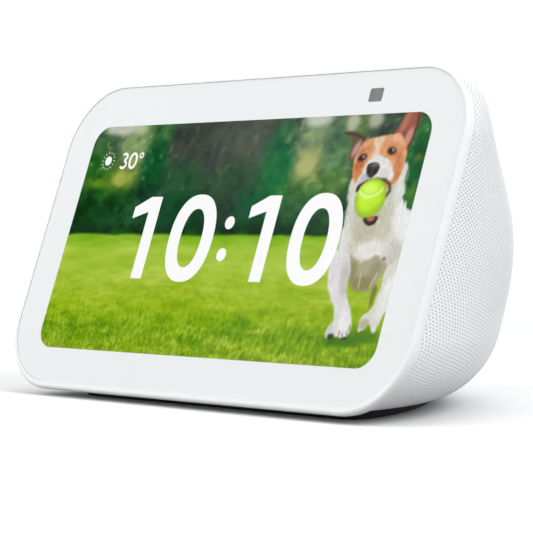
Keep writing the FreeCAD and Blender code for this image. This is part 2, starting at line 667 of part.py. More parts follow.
save("speaker_basket", make_basket())
save("speaker_top_plate", tube(0, FLANGE_Y - 13.0, SPEAKER_Z, 14.0, 5.9, 2.4, AXIS))
save("speaker_magnet", tube(0, FLANGE_Y - 20.0, SPEAKER_Z, 14.5, 7.5, 7.0, AXIS))
save("speaker_yoke", cylinder(0, FLANGE_Y - 22.4, SPEAKER_Z, 14.0, 2.4, AXIS).fuse(
    cylinder(0, FLANGE_Y - 20.0, SPEAKER_Z, 4.8, 9.4, AXIS)).removeSplitter())
save("voice_coil", tube(0, FLANGE_Y - 14.5, SPEAKER_Z, 5.45, 5.1, 8.0, AXIS))
save("speaker_cone", turned(CONE))
save("dust_cap", make_dust_cap())
save("speaker_surround", make_surround())
save("speaker_spider", turned(SPIDER))
save("speaker_gasket", tube(0, FLANGE_Y, SPEAKER_Z, 22.0, 18.6, 1.5, AXIS))


# ---------------------------------------------------------------- power inlet

JACK_OUTLET_Y = FRONT_Y + JACK_FACE
PIN_LENGTH = 9.0
PIN_ROOT = 1.5


def make_jack():
    body = box(-JACK_HALF_W, JACK_HALF_W, JACK_OUTLET_Y - JACK_LENGTH, JACK_OUTLET_Y,
               JACK_Z - JACK_HALF_H, JACK_Z + JACK_HALF_H)
    bore = cylinder(0, JACK_OUTLET_Y - JACK_BORE_DEPTH, JACK_Z, JACK_BORE_R, JACK_BORE_DEPTH + 0.5, AXIS)
    seat = cylinder(0, JACK_OUTLET_Y - JACK_BORE_DEPTH - PIN_ROOT, JACK_Z, JACK_SEAT_R, PIN_ROOT, AXIS)
    return body.cut([bore, seat])


def make_jack_pin():
    pin = cylinder(0, JACK_OUTLET_Y - JACK_BORE_DEPTH, JACK_Z, JACK_PIN_R, PIN_LENGTH, AXIS)
    tip_y = JACK_OUTLET_Y - JACK_BORE_DEPTH + PIN_LENGTH
    tip = [e for e in pin.Edges if abs(e.BoundBox.YMin - tip_y) < 1e-4]
    root = cylinder(0, JACK_OUTLET_Y - JACK_BORE_DEPTH - PIN_ROOT, JACK_Z, JACK_SEAT_R, PIN_ROOT, AXIS)
    return pin.makeFillet(0.3, tip).fuse(root)


def make_jack_contact():
    y0 = JACK_OUTLET_Y - 8.0
    return box(-1.0, 1.0, y0, y0 + 6.5, JACK_Z + JACK_BORE_R - 0.15, JACK_Z + JACK_BORE_R + 0.15)


save("power_jack_housing", make_jack().cut(make_jack_contact()))
save("power_jack_pin", make_jack_pin())
save("power_jack_contact", make_jack_contact())


# ---------------------------------------------------------------- internal leads

def ribbon(points, thickness, x0, x1):
    """A flat lead that follows (depth, z) points, as wide as x0 to x1."""
    upper = []
    lower = []
    for i, (y, z) in enumerate(points):
        before = points[max(i - 1, 0)]
        after = points[min(i + 1, len(points) - 1)]
        along = (after[0] - before[0], after[1] - before[1])
        size = math.hypot(*along)
        shift = (-along[1] / size * thickness / 2.0, along[0] / size * thickness / 2.0)
        upper.append(Vector(x0, FRONT_Y + y + shift[0], z + shift[1]))
        lower.append(Vector(x0, FRONT_Y + y - shift[0], z - shift[1]))
    outline = upper + lower[::-1]
    outline.append(outline[0])
    return Part.Face(Part.makePolygon(outline)).extrude(Vector(x1 - x0, 0, 0))


def panel_point(v, n):
    """(depth, z) of a point in the panel frame."""
    return (v * SIN - n * COS, GAP_UNDER_FACE + v * COS + n * SIN)


DISPLAY_LEAD = [panel_point(v, n) for v, n in ((12.2, -4.65), (12.4, -7.0), (14.0, -9.4), (16.5, -10.8))]
CAMERA_LEAD = [panel_point(v, n) for v, n in ((76.9, -6.75), (74.2, -7.6), (71.6, -9.4), (69.3, -10.8))]
SPEAKER_LEAD = [(21.4, 16.4), (30.0, 14.5), (45.0, 14.5), (57.0, 19.0), (63.3, 22.7)]
POWER_LEAD = [(22.0, 16.2), (32.0, 12.5), (50.0, 12.0), (72.5, 13.0)]
BUTTON_LEAD = [(36.3, 72.95), (38.6, 66.0), (37.6, 58.0), (34.4, 52.3)]

save("speaker_lead", ribbon(SPEAKER_LEAD, 1.0, -13.0, -11.0))
save("power_lead", ribbon(POWER_LEAD, 1.2, -1.6, 1.6))
save("button_lead", ribbon(BUTTON_LEAD, 0.3, -37.5, -31.5))
save("display_lead", ribbon(DISPLAY_LEAD, 0.2, -12.0, 12.0))
save("camera_lead", ribbon(CAMERA_LEAD, 0.2, 39.6, 43.2))
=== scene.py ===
import json
import math

import bmesh
import bpy
import numpy as np
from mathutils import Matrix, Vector


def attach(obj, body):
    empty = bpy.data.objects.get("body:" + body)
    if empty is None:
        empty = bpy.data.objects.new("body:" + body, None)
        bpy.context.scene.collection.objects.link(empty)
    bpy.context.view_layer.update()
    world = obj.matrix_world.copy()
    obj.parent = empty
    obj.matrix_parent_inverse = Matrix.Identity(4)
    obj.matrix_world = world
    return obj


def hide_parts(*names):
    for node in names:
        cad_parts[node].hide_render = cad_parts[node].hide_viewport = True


# Looks for the smart display. Lengths below are millimetres in the same two frames
# as the CAD source: the row frame (x right, y back, z up), and the panel frame
# (x right, v up the leaning panel, n outwards from its face).

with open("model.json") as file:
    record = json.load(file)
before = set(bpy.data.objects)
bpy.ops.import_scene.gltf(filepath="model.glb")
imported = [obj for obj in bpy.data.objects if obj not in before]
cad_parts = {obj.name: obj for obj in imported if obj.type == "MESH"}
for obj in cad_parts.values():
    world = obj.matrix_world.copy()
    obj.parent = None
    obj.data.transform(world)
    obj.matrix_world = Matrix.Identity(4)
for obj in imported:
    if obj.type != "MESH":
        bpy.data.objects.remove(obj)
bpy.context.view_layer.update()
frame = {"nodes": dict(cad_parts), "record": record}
cad = frame["nodes"]
MM = 0.001

TILT = math.radians(20.0)
SIN = math.sin(TILT)
COS = math.cos(TILT)
FRONT_Y = -46.0              # panel's bottom edge
GAP_UNDER_FACE = 3.0
WIDTH = 147.6
FACE_HEIGHT = 84.9
CORNER_R = 18.5
SEAM_DEPTH = 2.6             # the body starts this far behind the face
BODY_INSET = 0.5

SCREEN_W = 125.0
SCREEN_H = 62.5
SCREEN_V = 41.5
SCREEN_R = 5.5
RIM = 0.95                   # moulded rim round the clear cover
COVER_T = 0.2
PRINT_N = -0.22              # front of the white printed border
PRINT_T = 0.04
PICTURE_N = -0.32            # front of the bonded screen
PANEL_BACK_N = -2.3
INK_T = 0.03                 # digits stand this far in front of the picture
CAMERA_X = 41.4
CAMERA_V = 77.7
CAMERA_W = 4.5
CAMERA_H = 3.5

REAR_PROFILE = [(3.0, 80.9), (11.0, 89.4), (20.0, 92.0), (34.0, 89.7),
                (50.0, 81.4), (65.5, 68.9), (75.8, 57.5), (81.0, 48.8)]
FULLNESS = [(3.0, 0.46), (16.0, 0.45), (30.0, 0.55), (45.0, 0.63),
            (62.0, 0.54), (72.6, 0.535), (81.0, 0.88)]
REAR_FLATNESS = 0.38
FIRST_ANGLE = 13.0           # the body's first and last section, round the panel's corner

LEDGE_HALF_W = 57.0
LEDGE_Z = 80.85              # height that the ledge strip's outline follows
LEDGE_REAR = 47.4            # the cloth reaches in to here above the ledge strip
LEDGE_FULLNESS = 0.9
FOOT_HALF_W = 50.0
FOOT_FRONT = 9.8
FOOT_REAR = 78.5
FOOT_FULLNESS = 0.17
FOOT_FLATNESS = 0.48
FOOT_GAP = 0.8               # the cloth stops this far from the foot's plate
JACK_Z = 13.0
PORT_R = 4.35                # hole in the cloth round the power inlet
PORT_RIM = 1.0               # points this near to the hole are its edge


def panel_point(x, v, n):
    """Row-frame point, in metres, of a point in the panel frame."""
    return Vector((x, FRONT_Y + v * SIN - n * COS, GAP_UNDER_FACE + v * COS + n * SIN)) * MM


def spline(points, at):
    """Natural cubic spline through (position, value) points."""
    x = np.array([p[0] for p in points])
    y = np.array([p[1] for p in points])
    h = np.diff(x)
    size = len(x)
    matrix = np.eye(size)
    right = np.zeros(size)
    for i in range(1, size - 1):
        matrix[i, i - 1:i + 2] = h[i - 1], 2 * (h[i - 1] + h[i]), h[i]
        right[i] = 6 * ((y[i + 1] - y[i]) / h[i] - (y[i] - y[i - 1]) / h[i - 1])
    bend = np.linalg.solve(matrix, right)
    i = int(np.clip(np.searchsorted(x, at) - 1, 0, size - 2))
    before = at - x[i]
    after = x[i + 1] - at
    return ((bend[i] * after ** 3 + bend[i + 1] * before ** 3) / (6 * h[i])
            + (y[i] / h[i] - bend[i] * h[i] / 6) * after
            + (y[i + 1] / h[i] - bend[i + 1] * h[i] / 6) * before)


def step(value, low, high):
    """0 below low, 1 above high, smooth between."""
    t = np.clip((value - low) / (high - low), 0, 1)
    return t * t * (3 - 2 * t)


# ---------------------------------------------------------------- shader helpers

def linear(*levels):
    """Linear colour from 0-255 display levels; one level gives a grey."""
    if len(levels) == 1:
        levels = levels * 3
    values = [x / 255.0 for x in levels]
    return tuple(x / 12.92 if x <= 0.04045 else ((x + 0.055) / 1.055) ** 2.4 for x in values) + (1.0,)


class Shader:
    """One Principled material and short ways to wire its nodes. Texture positions are
    in millimetres."""

    def __init__(self, name, **fixed):
        self.material = bpy.data.materials.new(name)
        self.material.use_nodes = True
        self.tree = self.material.node_tree
        self.bsdf = self.tree.nodes["Principled BSDF"]
        self.set(**fixed)
        self.place = None

    def set(self, **values):
        """Sets or links inputs of the Principled node; Base_Color names Base Color."""
        for key, value in values.items():
            self.plug(self.bsdf.inputs[key.replace("_", " ")], value)

    def plug(self, socket, value):
        if isinstance(value, bpy.types.NodeSocket):
            self.tree.links.new(value, socket)
        else:
            socket.default_value = value

    def add(self, kind, inputs, **settings):
        node = self.tree.nodes.new(kind)
        for key, value in settings.items():
            setattr(node, key, value)
        for key, value in inputs.items():
            self.plug(node.inputs[key], value)
        return node

    def at(self, stretch=(1.0, 1.0, 1.0), turn=(0.0, 0.0, 0.0)):
        """Position in the row frame, in millimetres, stretched and turned."""
        source = self.add("ShaderNodeTexCoord", {}).outputs["Object"]
        size = tuple(x / MM for x in stretch)
        spin = tuple(math.radians(a) for a in turn)
        return self.add("ShaderNodeMapping", {"Vector": source, "Scale": size, "Rotation": spin}).outputs[0]

    def noise(self, size, detail=2.0, rough=0.5, at=None):
        where = at or self.at()
        return self.add("ShaderNodeTexNoise", {"Vector": where, "Scale": 1.0 / size, "Detail": detail,
                                               "Roughness": rough}).outputs["Fac"]

    def cells(self, size, feature="F1", at=None):
        where = at or self.at()
        return self.add("ShaderNodeTexVoronoi", {"Vector": where, "Scale": 1.0 / size},
                        feature=feature).outputs["Distance"]

    def wave(self, size, at, distortion=0.0, direction="X"):
        return self.add("ShaderNodeTexWave", {"Vector": at, "Scale": 0.314 / size, "Distortion": distortion},
                        bands_direction=direction).outputs["Fac"]

    def ranged(self, value, low, high, start=0.0, stop=1.0):
        return self.add("ShaderNodeMapRange", {"Value": value, "From Min": start, "From Max": stop,
                                               "To Min": low, "To Max": high}).outputs["Result"]

    def sum(self, operation, first, second=0.0, third=0.0):
        return self.add("ShaderNodeMath", {0: first, 1: second, 2: third}, operation=operation).outputs[0]

    def mix(self, share, first, second):
        return self.add("ShaderNodeMix", {"Factor": share, 6: first, 7: second}, data_type="RGBA").outputs[2]

    def shaded(self, colour, share, amount):
        """colour, darkened by up to amount where share is 0 and lightened where it is 1."""
        dark = tuple(c * (1 - amount) for c in colour[:3]) + (1.0,)
        light = tuple(min(1.0, c * (1 + amount)) for c in colour[:3]) + (1.0,)
        return self.mix(share, dark, light)

    def bump(self, height, depth, strength=1.0):
        """Links a bump of that depth in millimetres to the normal."""
        node = self.add("ShaderNodeBump", {"Height": height, "Distance": depth * MM, "Strength": strength})
        self.set(Normal=node.outputs[0])


# ---------------------------------------------------------------- materials

def moulded(name, colour, rough=0.5, grain=0.3, relief=0.012, mottle=0.025, **fixed):
    """Moulded plastic: slow mottling, fine spark-eroded grain, uneven gloss."""
    s = Shader(name, **fixed)
    grainy = s.noise(grain, detail=4.0, rough=0.6)
    slow = s.noise(14.0, detail=3.0)
    fleck = s.sum("MULTIPLY_ADD", grainy, 0.35, s.sum("MULTIPLY", slow, 0.65))
    s.set(Base_Color=s.shaded(colour, fleck, mottle),
          Roughness=s.ranged(s.noise(6.0, detail=5.0), rough - 0.07, rough + 0.07, 0.3, 0.7))
    s.bump(grainy, relief, 0.6)
    return s.material


def rubber(name, colour, rough=0.75, mottle=0.25):
    """Moulded rubber: pebbled, dull, with paler dust in the hollows."""
    s = Shader(name)
    pebbles = s.cells(0.9)
    dust = s.noise(5.0, detail=6.0, rough=0.65)
    s.set(Base_Color=s.shaded(colour, dust, mottle),
          Roughness=s.ranged(dust, rough - 0.12, rough + 0.1, 0.3, 0.7))
    s.bump(pebbles, 0.04, 0.5)
    return s.material


def metal(name, colour, rough=0.35, stretch=(1.0, 1.0, 1.0), mark=0.12):
    """Rolled or drawn metal: stretched scratches and a slow change of gloss."""
    s = Shader(name, Metallic=1.0)
    lines = s.noise(0.25, detail=5.0, rough=0.7, at=s.at(stretch))
    slow = s.noise(8.0, detail=3.0)
    s.set(Base_Color=s.shaded(colour, s.sum("MULTIPLY_ADD", lines, 0.5, s.sum("MULTIPLY", slow, 0.5)), mark),
          Roughness=s.ranged(lines, rough - 0.1, rough + 0.15, 0.3, 0.7))
    s.bump(lines, 0.006, 0.5)
    return s.material


def foam(name, colour):
    """Open-cell foam: round pits, painted dark inside as shade, and a powdery surface."""
    s = Shader(name, Roughness=0.95)
    pits = s.cells(0.35)
    # painted shade: the middle of each pit is painted a third as bright as the foam
    s.set(Base_Color=s.mix(s.ranged(pits, 0.0, 1.0, 0.0, 0.6), linear(*[c // 3 for c in colour]),
                           linear(*colour)))
    s.bump(pits, 0.15, 0.8)
    return s.material


def clear_cover(name):
    """Hard clear cover with an anti-glare coat: it shows little but a faint gloss."""
    s = Shader(name, Alpha=0.04, Base_Color=linear(4, 4, 5))
    s.set(Roughness=s.ranged(s.noise(20.0, detail=5.0), 0.10, 0.16, 0.35, 0.65))
    s.bump(s.noise(0.5, detail=3.0), 0.0006, 0.3)
    return s.material


def small_glass(name, colour):
    """Coated lens element: dark glass with a painted reflection of its coating, a faint violet towards its
    edge.
    """
    s = Shader(name, IOR=1.55, Coat_Weight=1.0, Coat_Roughness=0.02)
    edge = s.add("ShaderNodeLayerWeight", {"Blend": 0.4}).outputs["Facing"]
    # painted reflection: the coating's violet reflection is laid into the base colour where the surface is
    # seen at a glancing angle
    s.set(Base_Color=s.mix(edge, colour, linear(64, 52, 96)),
          Roughness=s.ranged(s.noise(1.0), 0.03, 0.07))
    return s.material


def circuit_board(name):
    """Solder-masked board: copper tracks under the mask, vias and pads."""
    s = Shader(name, Coat_Weight=0.3, Coat_Roughness=0.15)
    flat = s.at(turn=(70.0, 0.0, 0.0))
    brick = s.add("ShaderNodeTexBrick", {"Vector": flat, "Scale": 0.28, "Mortar Size": 0.05},
                  squash=0.6, offset=0.37)
    vias = s.cells(1.7, at=flat)
    tracks = s.mix(brick.outputs["Fac"], linear(16, 82, 52), linear(38, 118, 74))
    dots = s.ranged(vias, 1.0, 0.0, 0.10, 0.16)
    s.set(Base_Color=s.mix(dots, tracks, linear(206, 178, 92)),
          Roughness=s.ranged(s.noise(3.0), 0.3, 0.45))
    s.bump(brick.outputs["Fac"], 0.03, 0.7)
    return s.material


def ribbon(name, colour, line, direction="X"):
    """Flat flexible lead: parallel conductors under a translucent film."""
    s = Shader(name)
    bands = s.wave(0.5, s.at(), direction=direction)
    s.set(Base_Color=s.mix(bands, colour, line), Roughness=s.ranged(bands, 0.3, 0.42))
    s.bump(bands, 0.03, 0.7)
    return s.material


def paper_cone(name, colour):
    """Pressed paper: long pale fibres in a dark pulp."""
    s = Shader(name)
    fibres = s.noise(0.35, detail=6.0, rough=0.75, at=s.at((1.0, 1.0, 0.25)))
    s.set(Base_Color=s.shaded(colour, fibres, 0.55), Roughness=s.ranged(fibres, 0.7, 0.95))
    s.bump(fibres, 0.05, 0.8)
    return s.material


def wound_wire(name):
    """Enamelled copper turns round the coil."""
    s = Shader(name, Metallic=1.0)
    turns = s.wave(0.3, s.at(), direction="Y")
    s.set(Base_Color=s.mix(turns, linear(120, 58, 30), linear(206, 116, 70)),
          Roughness=s.ranged(turns, 0.25, 0.45))
    s.bump(turns, 0.08)
    return s.material


def woven(name, colour, pitch=0.5):
    """Open resin-stiffened cloth."""
    s = Shader(name)
    warp = s.wave(pitch, s.at(), direction="X")
    weft = s.wave(pitch, s.at(), direction="Z")
    over = s.sum("MULTIPLY", warp, weft)
    s.set(Base_Color=s.shaded(colour, over, 0.3), Roughness=s.ranged(over, 0.9, 0.65))
    s.bump(over, 0.1, 0.8)
    return s.material


def diffuser(name, colour):
    """Milky light guide with a fine grid of printed dots."""
    s = Shader(name, Subsurface_Weight=0.2, Subsurface_Radius=(0.002, 0.002, 0.002))
    dots = s.cells(0.8)
    s.set(Base_Color=s.shaded(colour, dots, 0.06), Roughness=s.ranged(dots, 0.35, 0.5))
    s.bump(dots, 0.01, 0.5)
    return s.material


WHITE_FACE = linear(243, 245, 245)
MATERIALS = {
    "frame_plastic": moulded("satin_white_frame", linear(233, 235, 234), rough=0.5, mottle=0.012),
    "lens_glass": clear_cover("clear_cover"),
    "white_print": moulded("white_print", WHITE_FACE, rough=0.6, grain=0.5, relief=0.0003, mottle=0.006),
    "touch_glass": clear_cover("touch_film"),
    "display_black": moulded("display_cell", linear(24, 25, 28), rough=0.25, grain=0.2, mottle=0.15),
    "backlight_white": diffuser("backlight_guide", linear(235, 236, 232)),
    "foam": foam("black_foam", (52, 52, 54)),
    "tray_metal": metal("zinc_tray", linear(186, 188, 186), 0.38, (0.08, 1.0, 1.0)),
    "screw_steel": metal("screw_steel", linear(150, 150, 148), 0.3, (1.0, 1.0, 0.2)),
    "camera_black": moulded("camera_body", linear(26, 26, 28), rough=0.45, grain=0.2, mottle=0.2),
    "camera_glass": small_glass("camera_glass", linear(12, 14, 24)),
    "shutter_white": moulded("shutter_blade", linear(228, 229, 228), rough=0.5, mottle=0.02),
    "ledge_plastic": moulded("ledge_plastic", linear(230, 231, 230), rough=0.5, mottle=0.018),
    "button_plastic": moulded("button_plastic", linear(222, 223, 223), rough=0.46, mottle=0.018),
    "shell_plastic": moulded("shell_plastic", linear(222, 223, 223), rough=0.58, mottle=0.03),
    "trim_plastic": moulded("trim_plastic", linear(212, 213, 214), rough=0.45, mottle=0.03),
    "base_plastic": moulded("base_plastic", linear(38, 38, 40), rough=0.6, relief=0.03, mottle=0.15),
    "foot_rubber": rubber("foot_rubber", linear(40, 41, 43)),
    "seal_rubber": rubber("seal_rubber", linear(34, 34, 36), 0.6),
    "magnet_metal": metal("ferrite", linear(74, 74, 78), 0.5, mark=0.25),
    "circuit_board": circuit_board("green_board"),
    "switch_metal": metal("switch_can", linear(196, 196, 192), 0.3),
    "chip_black": moulded("chip_epoxy", linear(30, 30, 32), rough=0.6, grain=0.15, mottle=0.25),
    "light_pipe": diffuser("light_pipe", linear(226, 229, 230)),
    "brass_standoff": metal("brass", linear(196, 160, 84), 0.32, (1.0, 1.0, 0.3)),
    "connector_plastic": moulded("connector_nylon", linear(214, 206, 184), rough=0.5, mottle=0.06),
    "thermal_grey": foam("thermal_pad", (150, 158, 168)),
    "spreader_aluminium": metal("aluminium", linear(204, 205, 208), 0.4, (0.06, 1.0, 1.0)),
    "speaker_metal": metal("plated_steel", linear(150, 152, 156), 0.42),
    "coil_wire": wound_wire("coil_wire"),
    "cone_black": paper_cone("paper_cone", linear(42, 42, 44)),
    "spider_cloth": woven("spider_cloth", linear(176, 128, 62)),
    "contact_metal": metal("nickel", linear(206, 204, 198), 0.22, (1.0, 0.2, 1.0)),
    "lead_black": ribbon("lead_black", linear(26, 26, 28), linear(50, 50, 54)),
    "flex_amber": ribbon("flex_amber", linear(166, 92, 26), linear(206, 140, 62)),
}


def dress_cad_nodes():
    """Gives each CAD node the material of its slot, and flat faces that shade flat."""
    for part in frame["record"]["subparts"]:
        node = cad[part["node"]]
        for place in node.material_slots:
            place.material = MATERIALS.get(part["material_slot"], place.material)
        split = node.modifiers.new("creases", "EDGE_SPLIT")
        split.split_angle = math.radians(32.0)
        even = node.modifiers.new("even_shading", "WEIGHTED_NORMAL")
        even.weight = 100
        even.keep_sharp = True


dress_cad_nodes()


# ---------------------------------------------------------------- pieces

def new_piece(name, vertices, faces, material, body="housing", smooth=True):
    """A mesh from row-frame points in metres, riding on a body."""
    mesh = bpy.data.meshes.new(name)
    mesh.from_pydata([tuple(p) for p in vertices], [], faces)
    mesh.materials.append(material)
    for polygon in mesh.polygons:
        polygon.use_smooth = smooth
    piece = bpy.data.objects.new(name, mesh)
    bpy.context.scene.collection.objects.link(piece)
    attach(piece, body)
    return piece


# ---------------------------------------------------------------- knitted cover

WALE = 1.2                   # from one valley between ribs to the next
COURSE = 0.88                # from one hole to the next along a valley
STEP = WALE / 4.0            # mesh columns
RIB_RELIEF = 0.07
ROWS_STRAIGHT = 52
ROWS_CORNER = 22
HEM = 0.9                    # turned-in edge
LEAN = 0.42                  # the ribs run this far forwards for each step up the side
LEAN_FROM = 8.0              # height at which they start to lean
LEAN_FULL = 34.0
LEAN_FADE = 30.0             # they stand straight at the rear centre line


def half_outline(half, start, rear, fullness, flatness=REAR_FLATNESS):
    """Bezier poles of the right half of a section, from the rear centre line."""
    span = rear - start
    return np.array([(0.0, rear), (flatness * half, rear), (half, start + fullness * span), (half, start)])


def bezier(poles, t):
    t = np.asarray(t)[:, None]
    return ((1 - t) ** 3 * poles[0] + 3 * t * (1 - t) ** 2 * poles[1]
            + 3 * t * t * (1 - t) * poles[2] + t ** 3 * poles[3])


def front_of(z):
    """Depth of the body's front plane at height z."""
    v = (z - GAP_UNDER_FACE + SEAM_DEPTH * SIN) / COS
    return v * SIN + SEAM_DEPTH * COS


def section_rows():
    """(z, half width) of each mesh row, closer together round the panel's corners."""
    radius = CORNER_R - BODY_INSET
    centre = WIDTH / 2 - CORNER_R
    rows = []
    for angle in np.radians(np.linspace(FIRST_ANGLE, 90.0, ROWS_CORNER)):
        rise = BODY_INSET + radius * (1 - math.cos(angle))
        rows.append((rise, centre + radius * math.sin(angle)))
    top = [(FACE_HEIGHT - v, half) for v, half in reversed(rows)]
    middle = [(v, centre + radius) for v in
              np.linspace(CORNER_R, FACE_HEIGHT - CORNER_R, ROWS_STRAIGHT)[1:-1]]
    return [(GAP_UNDER_FACE + v * COS - SEAM_DEPTH * SIN, half) for v, half in rows + middle + top]


def rib_shift(z):
    """How far the ribs have come forwards at height z."""
    if z < LEAN_FROM:
        return 0.0
    span = LEAN_FULL - LEAN_FROM
    ramp = min(z, LEAN_FULL) - LEAN_FROM
    return LEAN * (ramp * ramp / (2 * span) + max(z - LEAN_FULL, 0.0))


def walk(poles, z):
    """Curve parameters where the mesh columns cross a section, and its end, with the
    place of each in the knit."""
    t = np.linspace(0, 1, 500)
    points = bezier(poles, t)
    length = np.concatenate([[0], np.cumsum(np.linalg.norm(np.diff(points, axis=0), axis=1))])
    column = np.arange(0, 170.0, STEP)
    stops = column + rib_shift(z) * step(column, 0.0, LEAN_FADE)
    end = float(np.interp(length[-1], stops, column))
    kept = column[stops < length[-1] - 0.3 * STEP]
    return np.interp(np.append(stops[:len(kept)], length[-1]), length, t), np.append(kept, end)


def knit_mesh():
    """Right half of the cover as rows of points, with each point's place in the knit:
    distance round from the rear centre line, and distance up its own column."""
    points, places, last = [], [], []
    for z, half in section_rows():
        poles = half_outline(half, front_of(z), spline(REAR_PROFILE, z), spline(FULLNESS, z))
        t, stops = walk(poles, z)
        flat = bezier(poles, t)
        row = np.column_stack([flat[:, 0], flat[:, 1] + FRONT_Y, np.full(len(t), z)])
        up = np.zeros(len(t))
        if points:
            shared = min(len(points[-1]), len(row)) - 1
            rise = np.linalg.norm(row[:shared] - points[-1][:shared], axis=1)
            up[:shared] = places[-1][:shared, 1] + rise
            up[shared:] = up[shared - 1]
        points.append(row)
        places.append(np.column_stack([stops, up]))
        last.append(len(row) - 1)
    return points, places, last


def outward(points, i):
    """Unit normals along row i, from its neighbours in the row and the rows beside it."""
    row = points[i]
    across = np.gradient(row, axis=0)
    below = points[max(i - 1, 0)]
    above = points[min(i + 1, len(points) - 1)]
    count = min(len(below), len(above), len(row))
    up = np.zeros_like(row)
    up[:count] = above[:count] - below[:count]
    up[count:] = up[count - 1]
    normal = np.cross(up, across)
    return normal / np.maximum(np.linalg.norm(normal, axis=1), 1e-9)[:, None]


def ring_target(row_t, half, start, rear, fullness, z, flatness=REAR_FLATNESS):
    """Inner outline's points at the same curve parameters."""
    flat = bezier(half_outline(half, start, rear, fullness, flatness), row_t)
    return np.column_stack([flat[:, 0], flat[:, 1] + FRONT_Y, np.full(len(row_t), z)])


def make_cover():
    points, places, last = knit_mesh()
    rows = section_rows()
    raised = []
    for i, row in enumerate(points):
        u = places[i][:, 0]
        fade = np.clip((u[-1] - u) / 1.5, 0, 1)
        relief = -RIB_RELIEF * np.cos(2 * math.pi * u / WALE) * fade
        raised.append(row + outward(points, i) * relief[:, None])
    vertices, knit, grid = [], [], []

    def put(row, place):
        first = len(vertices)
        vertices.extend(row)
        knit.extend(place)
        return list(range(first, first + len(row)))

    for row, place in zip(raised, places):
        grid.append(put(row, place))

    faces = []

    def bridge(low, high):
        """Quads between two rows that start together, with a fan where one is longer."""
        count = max(len(low), len(high))
        for k in range(count - 1):
            a, b = low[min(k, len(low) - 1)], low[min(k + 1, len(low) - 1)]
            c, d = high[min(k + 1, len(high) - 1)], high[min(k, len(high) - 1)]
            corners = list(dict.fromkeys((a, b, c, d)))
            if len(corners) > 2:
                faces.append(corners[::-1])

    for low, high in zip(grid[:-1], grid[1:]):
        bridge(low, high)

    # over the top edge and down beside the ledge strip
    z, half = rows[-1]
    poles = half_outline(half, front_of(z), spline(REAR_PROFILE, z), spline(FULLNESS, z))
    t_row = walk(poles, z)[0]
    inner = ring_target(t_row, LEDGE_HALF_W + 0.15, front_of(LEDGE_Z), LEDGE_REAR, LEDGE_FULLNESS, z)
    previous = grid[-1]
    for share, lift in ((0.12, 0.16), (0.35, 0.30), (0.7, 0.34), (0.92, 0.22), (1.0, -0.1), (1.0, -1.2)):
        row = points[-1] * (1 - share) + inner * share
        row[:, 2] = z + lift
        row[-1, 1] = FRONT_Y + front_of(z + lift)
        current = put(row, places[-1] + np.array([0.0, share * 3.0 + (1.1 if lift < -1 else 0.0)]))
        bridge(previous, current)
        previous = current

    # under the bottom edge and in to the foot
    z, half = rows[0]
    poles = half_outline(half, front_of(z), spline(REAR_PROFILE, z), spline(FULLNESS, z))
    t_row = walk(poles, z)[0]
    inner = ring_target(t_row, FOOT_HALF_W + FOOT_GAP, FOOT_FRONT + 6.0, FOOT_REAR + FOOT_GAP,
        FOOT_FULLNESS, z,
                        FOOT_FLATNESS)
    previous = grid[0]
    for share, lift in ((0.1, -0.02), (0.5, 0.0), (0.95, 0.02), (1.0, 0.9)):
        row = points[0] * (1 - share) + inner * share
        row[:, 2] = z + lift
        current = put(row, places[0] - np.array([0.0, share * 9.0]))
        bridge(current, previous)
        previous = current

    # turned-in hem along the panel
    edge = [row[-1] for row in grid]
    middle = np.array([0.0, FRONT_Y + front_of(42.0), 42.0])
    hem = []
    for index in edge:
        point = vertices[index]
        inward = middle - point
        inward[0] = -point[0] if abs(point[0]) < 1 else inward[0]
        hem.append(point + inward / np.linalg.norm(inward) * HEM)
    hem_row = put(hem, [knit[index] for index in edge])
    for k in range(len(edge) - 1):
        faces.append([edge[k], hem_row[k], hem_row[k + 1], edge[k + 1]])

    # the left half mirrors the right
    count = len(vertices)
    vertices = np.array(vertices)
    mirrored = vertices * np.array([-1.0, 1.0, 1.0])
    knit = np.array(knit)
    every = np.vstack([vertices, mirrored]) * MM
    every_face = faces + [[index + count for index in reversed(face)] for face in faces]
    cover = new_piece("knit_cover", every, every_face, knit_material())
    attribute = cover.data.attributes.new("knit", "FLOAT_VECTOR", "POINT")
    place = np.zeros((2 * count, 3), np.float32)
    place[:count, :2] = knit
    place[count:, :2] = knit * np.array([-1.0, 1.0])
    attribute.data.foreach_set("vector", place.ravel())
    weld(cover)
    open_port(cover)
    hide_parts("fabric_cover")
    return cover


def open_port(cover):
    """Cuts the round hole for the power inlet at the back, with a clean edge."""
    mesh = bmesh.new()
    mesh.from_mesh(cover.data)

    def reach(point):
        return math.hypot(point.x / MM, point.z / MM - JACK_Z)

    inside = [f for f in mesh.faces
              if f.calc_center_median().y > 0 and reach(f.calc_center_median()) < PORT_R]
    bmesh.ops.delete(mesh, geom=inside, context="FACES")
    for vertex in mesh.verts:
        if vertex.is_boundary and vertex.co.y > 0 and reach(vertex.co) < PORT_R + PORT_RIM:
            share = PORT_R / reach(vertex.co)
            vertex.co.x *= share
            vertex.co.z = (JACK_Z + (vertex.co.z / MM - JACK_Z) * share) * MM
    mesh.to_mesh(cover.data)
    mesh.free()


def weld(piece, distance=0.004):
    """Merges points closer than distance, in millimetres."""
    mesh = bmesh.new()
    mesh.from_mesh(piece.data)
    bmesh.ops.remove_doubles(mesh, verts=mesh.verts, dist=distance * MM)
    mesh.to_mesh(piece.data)
    mesh.free()


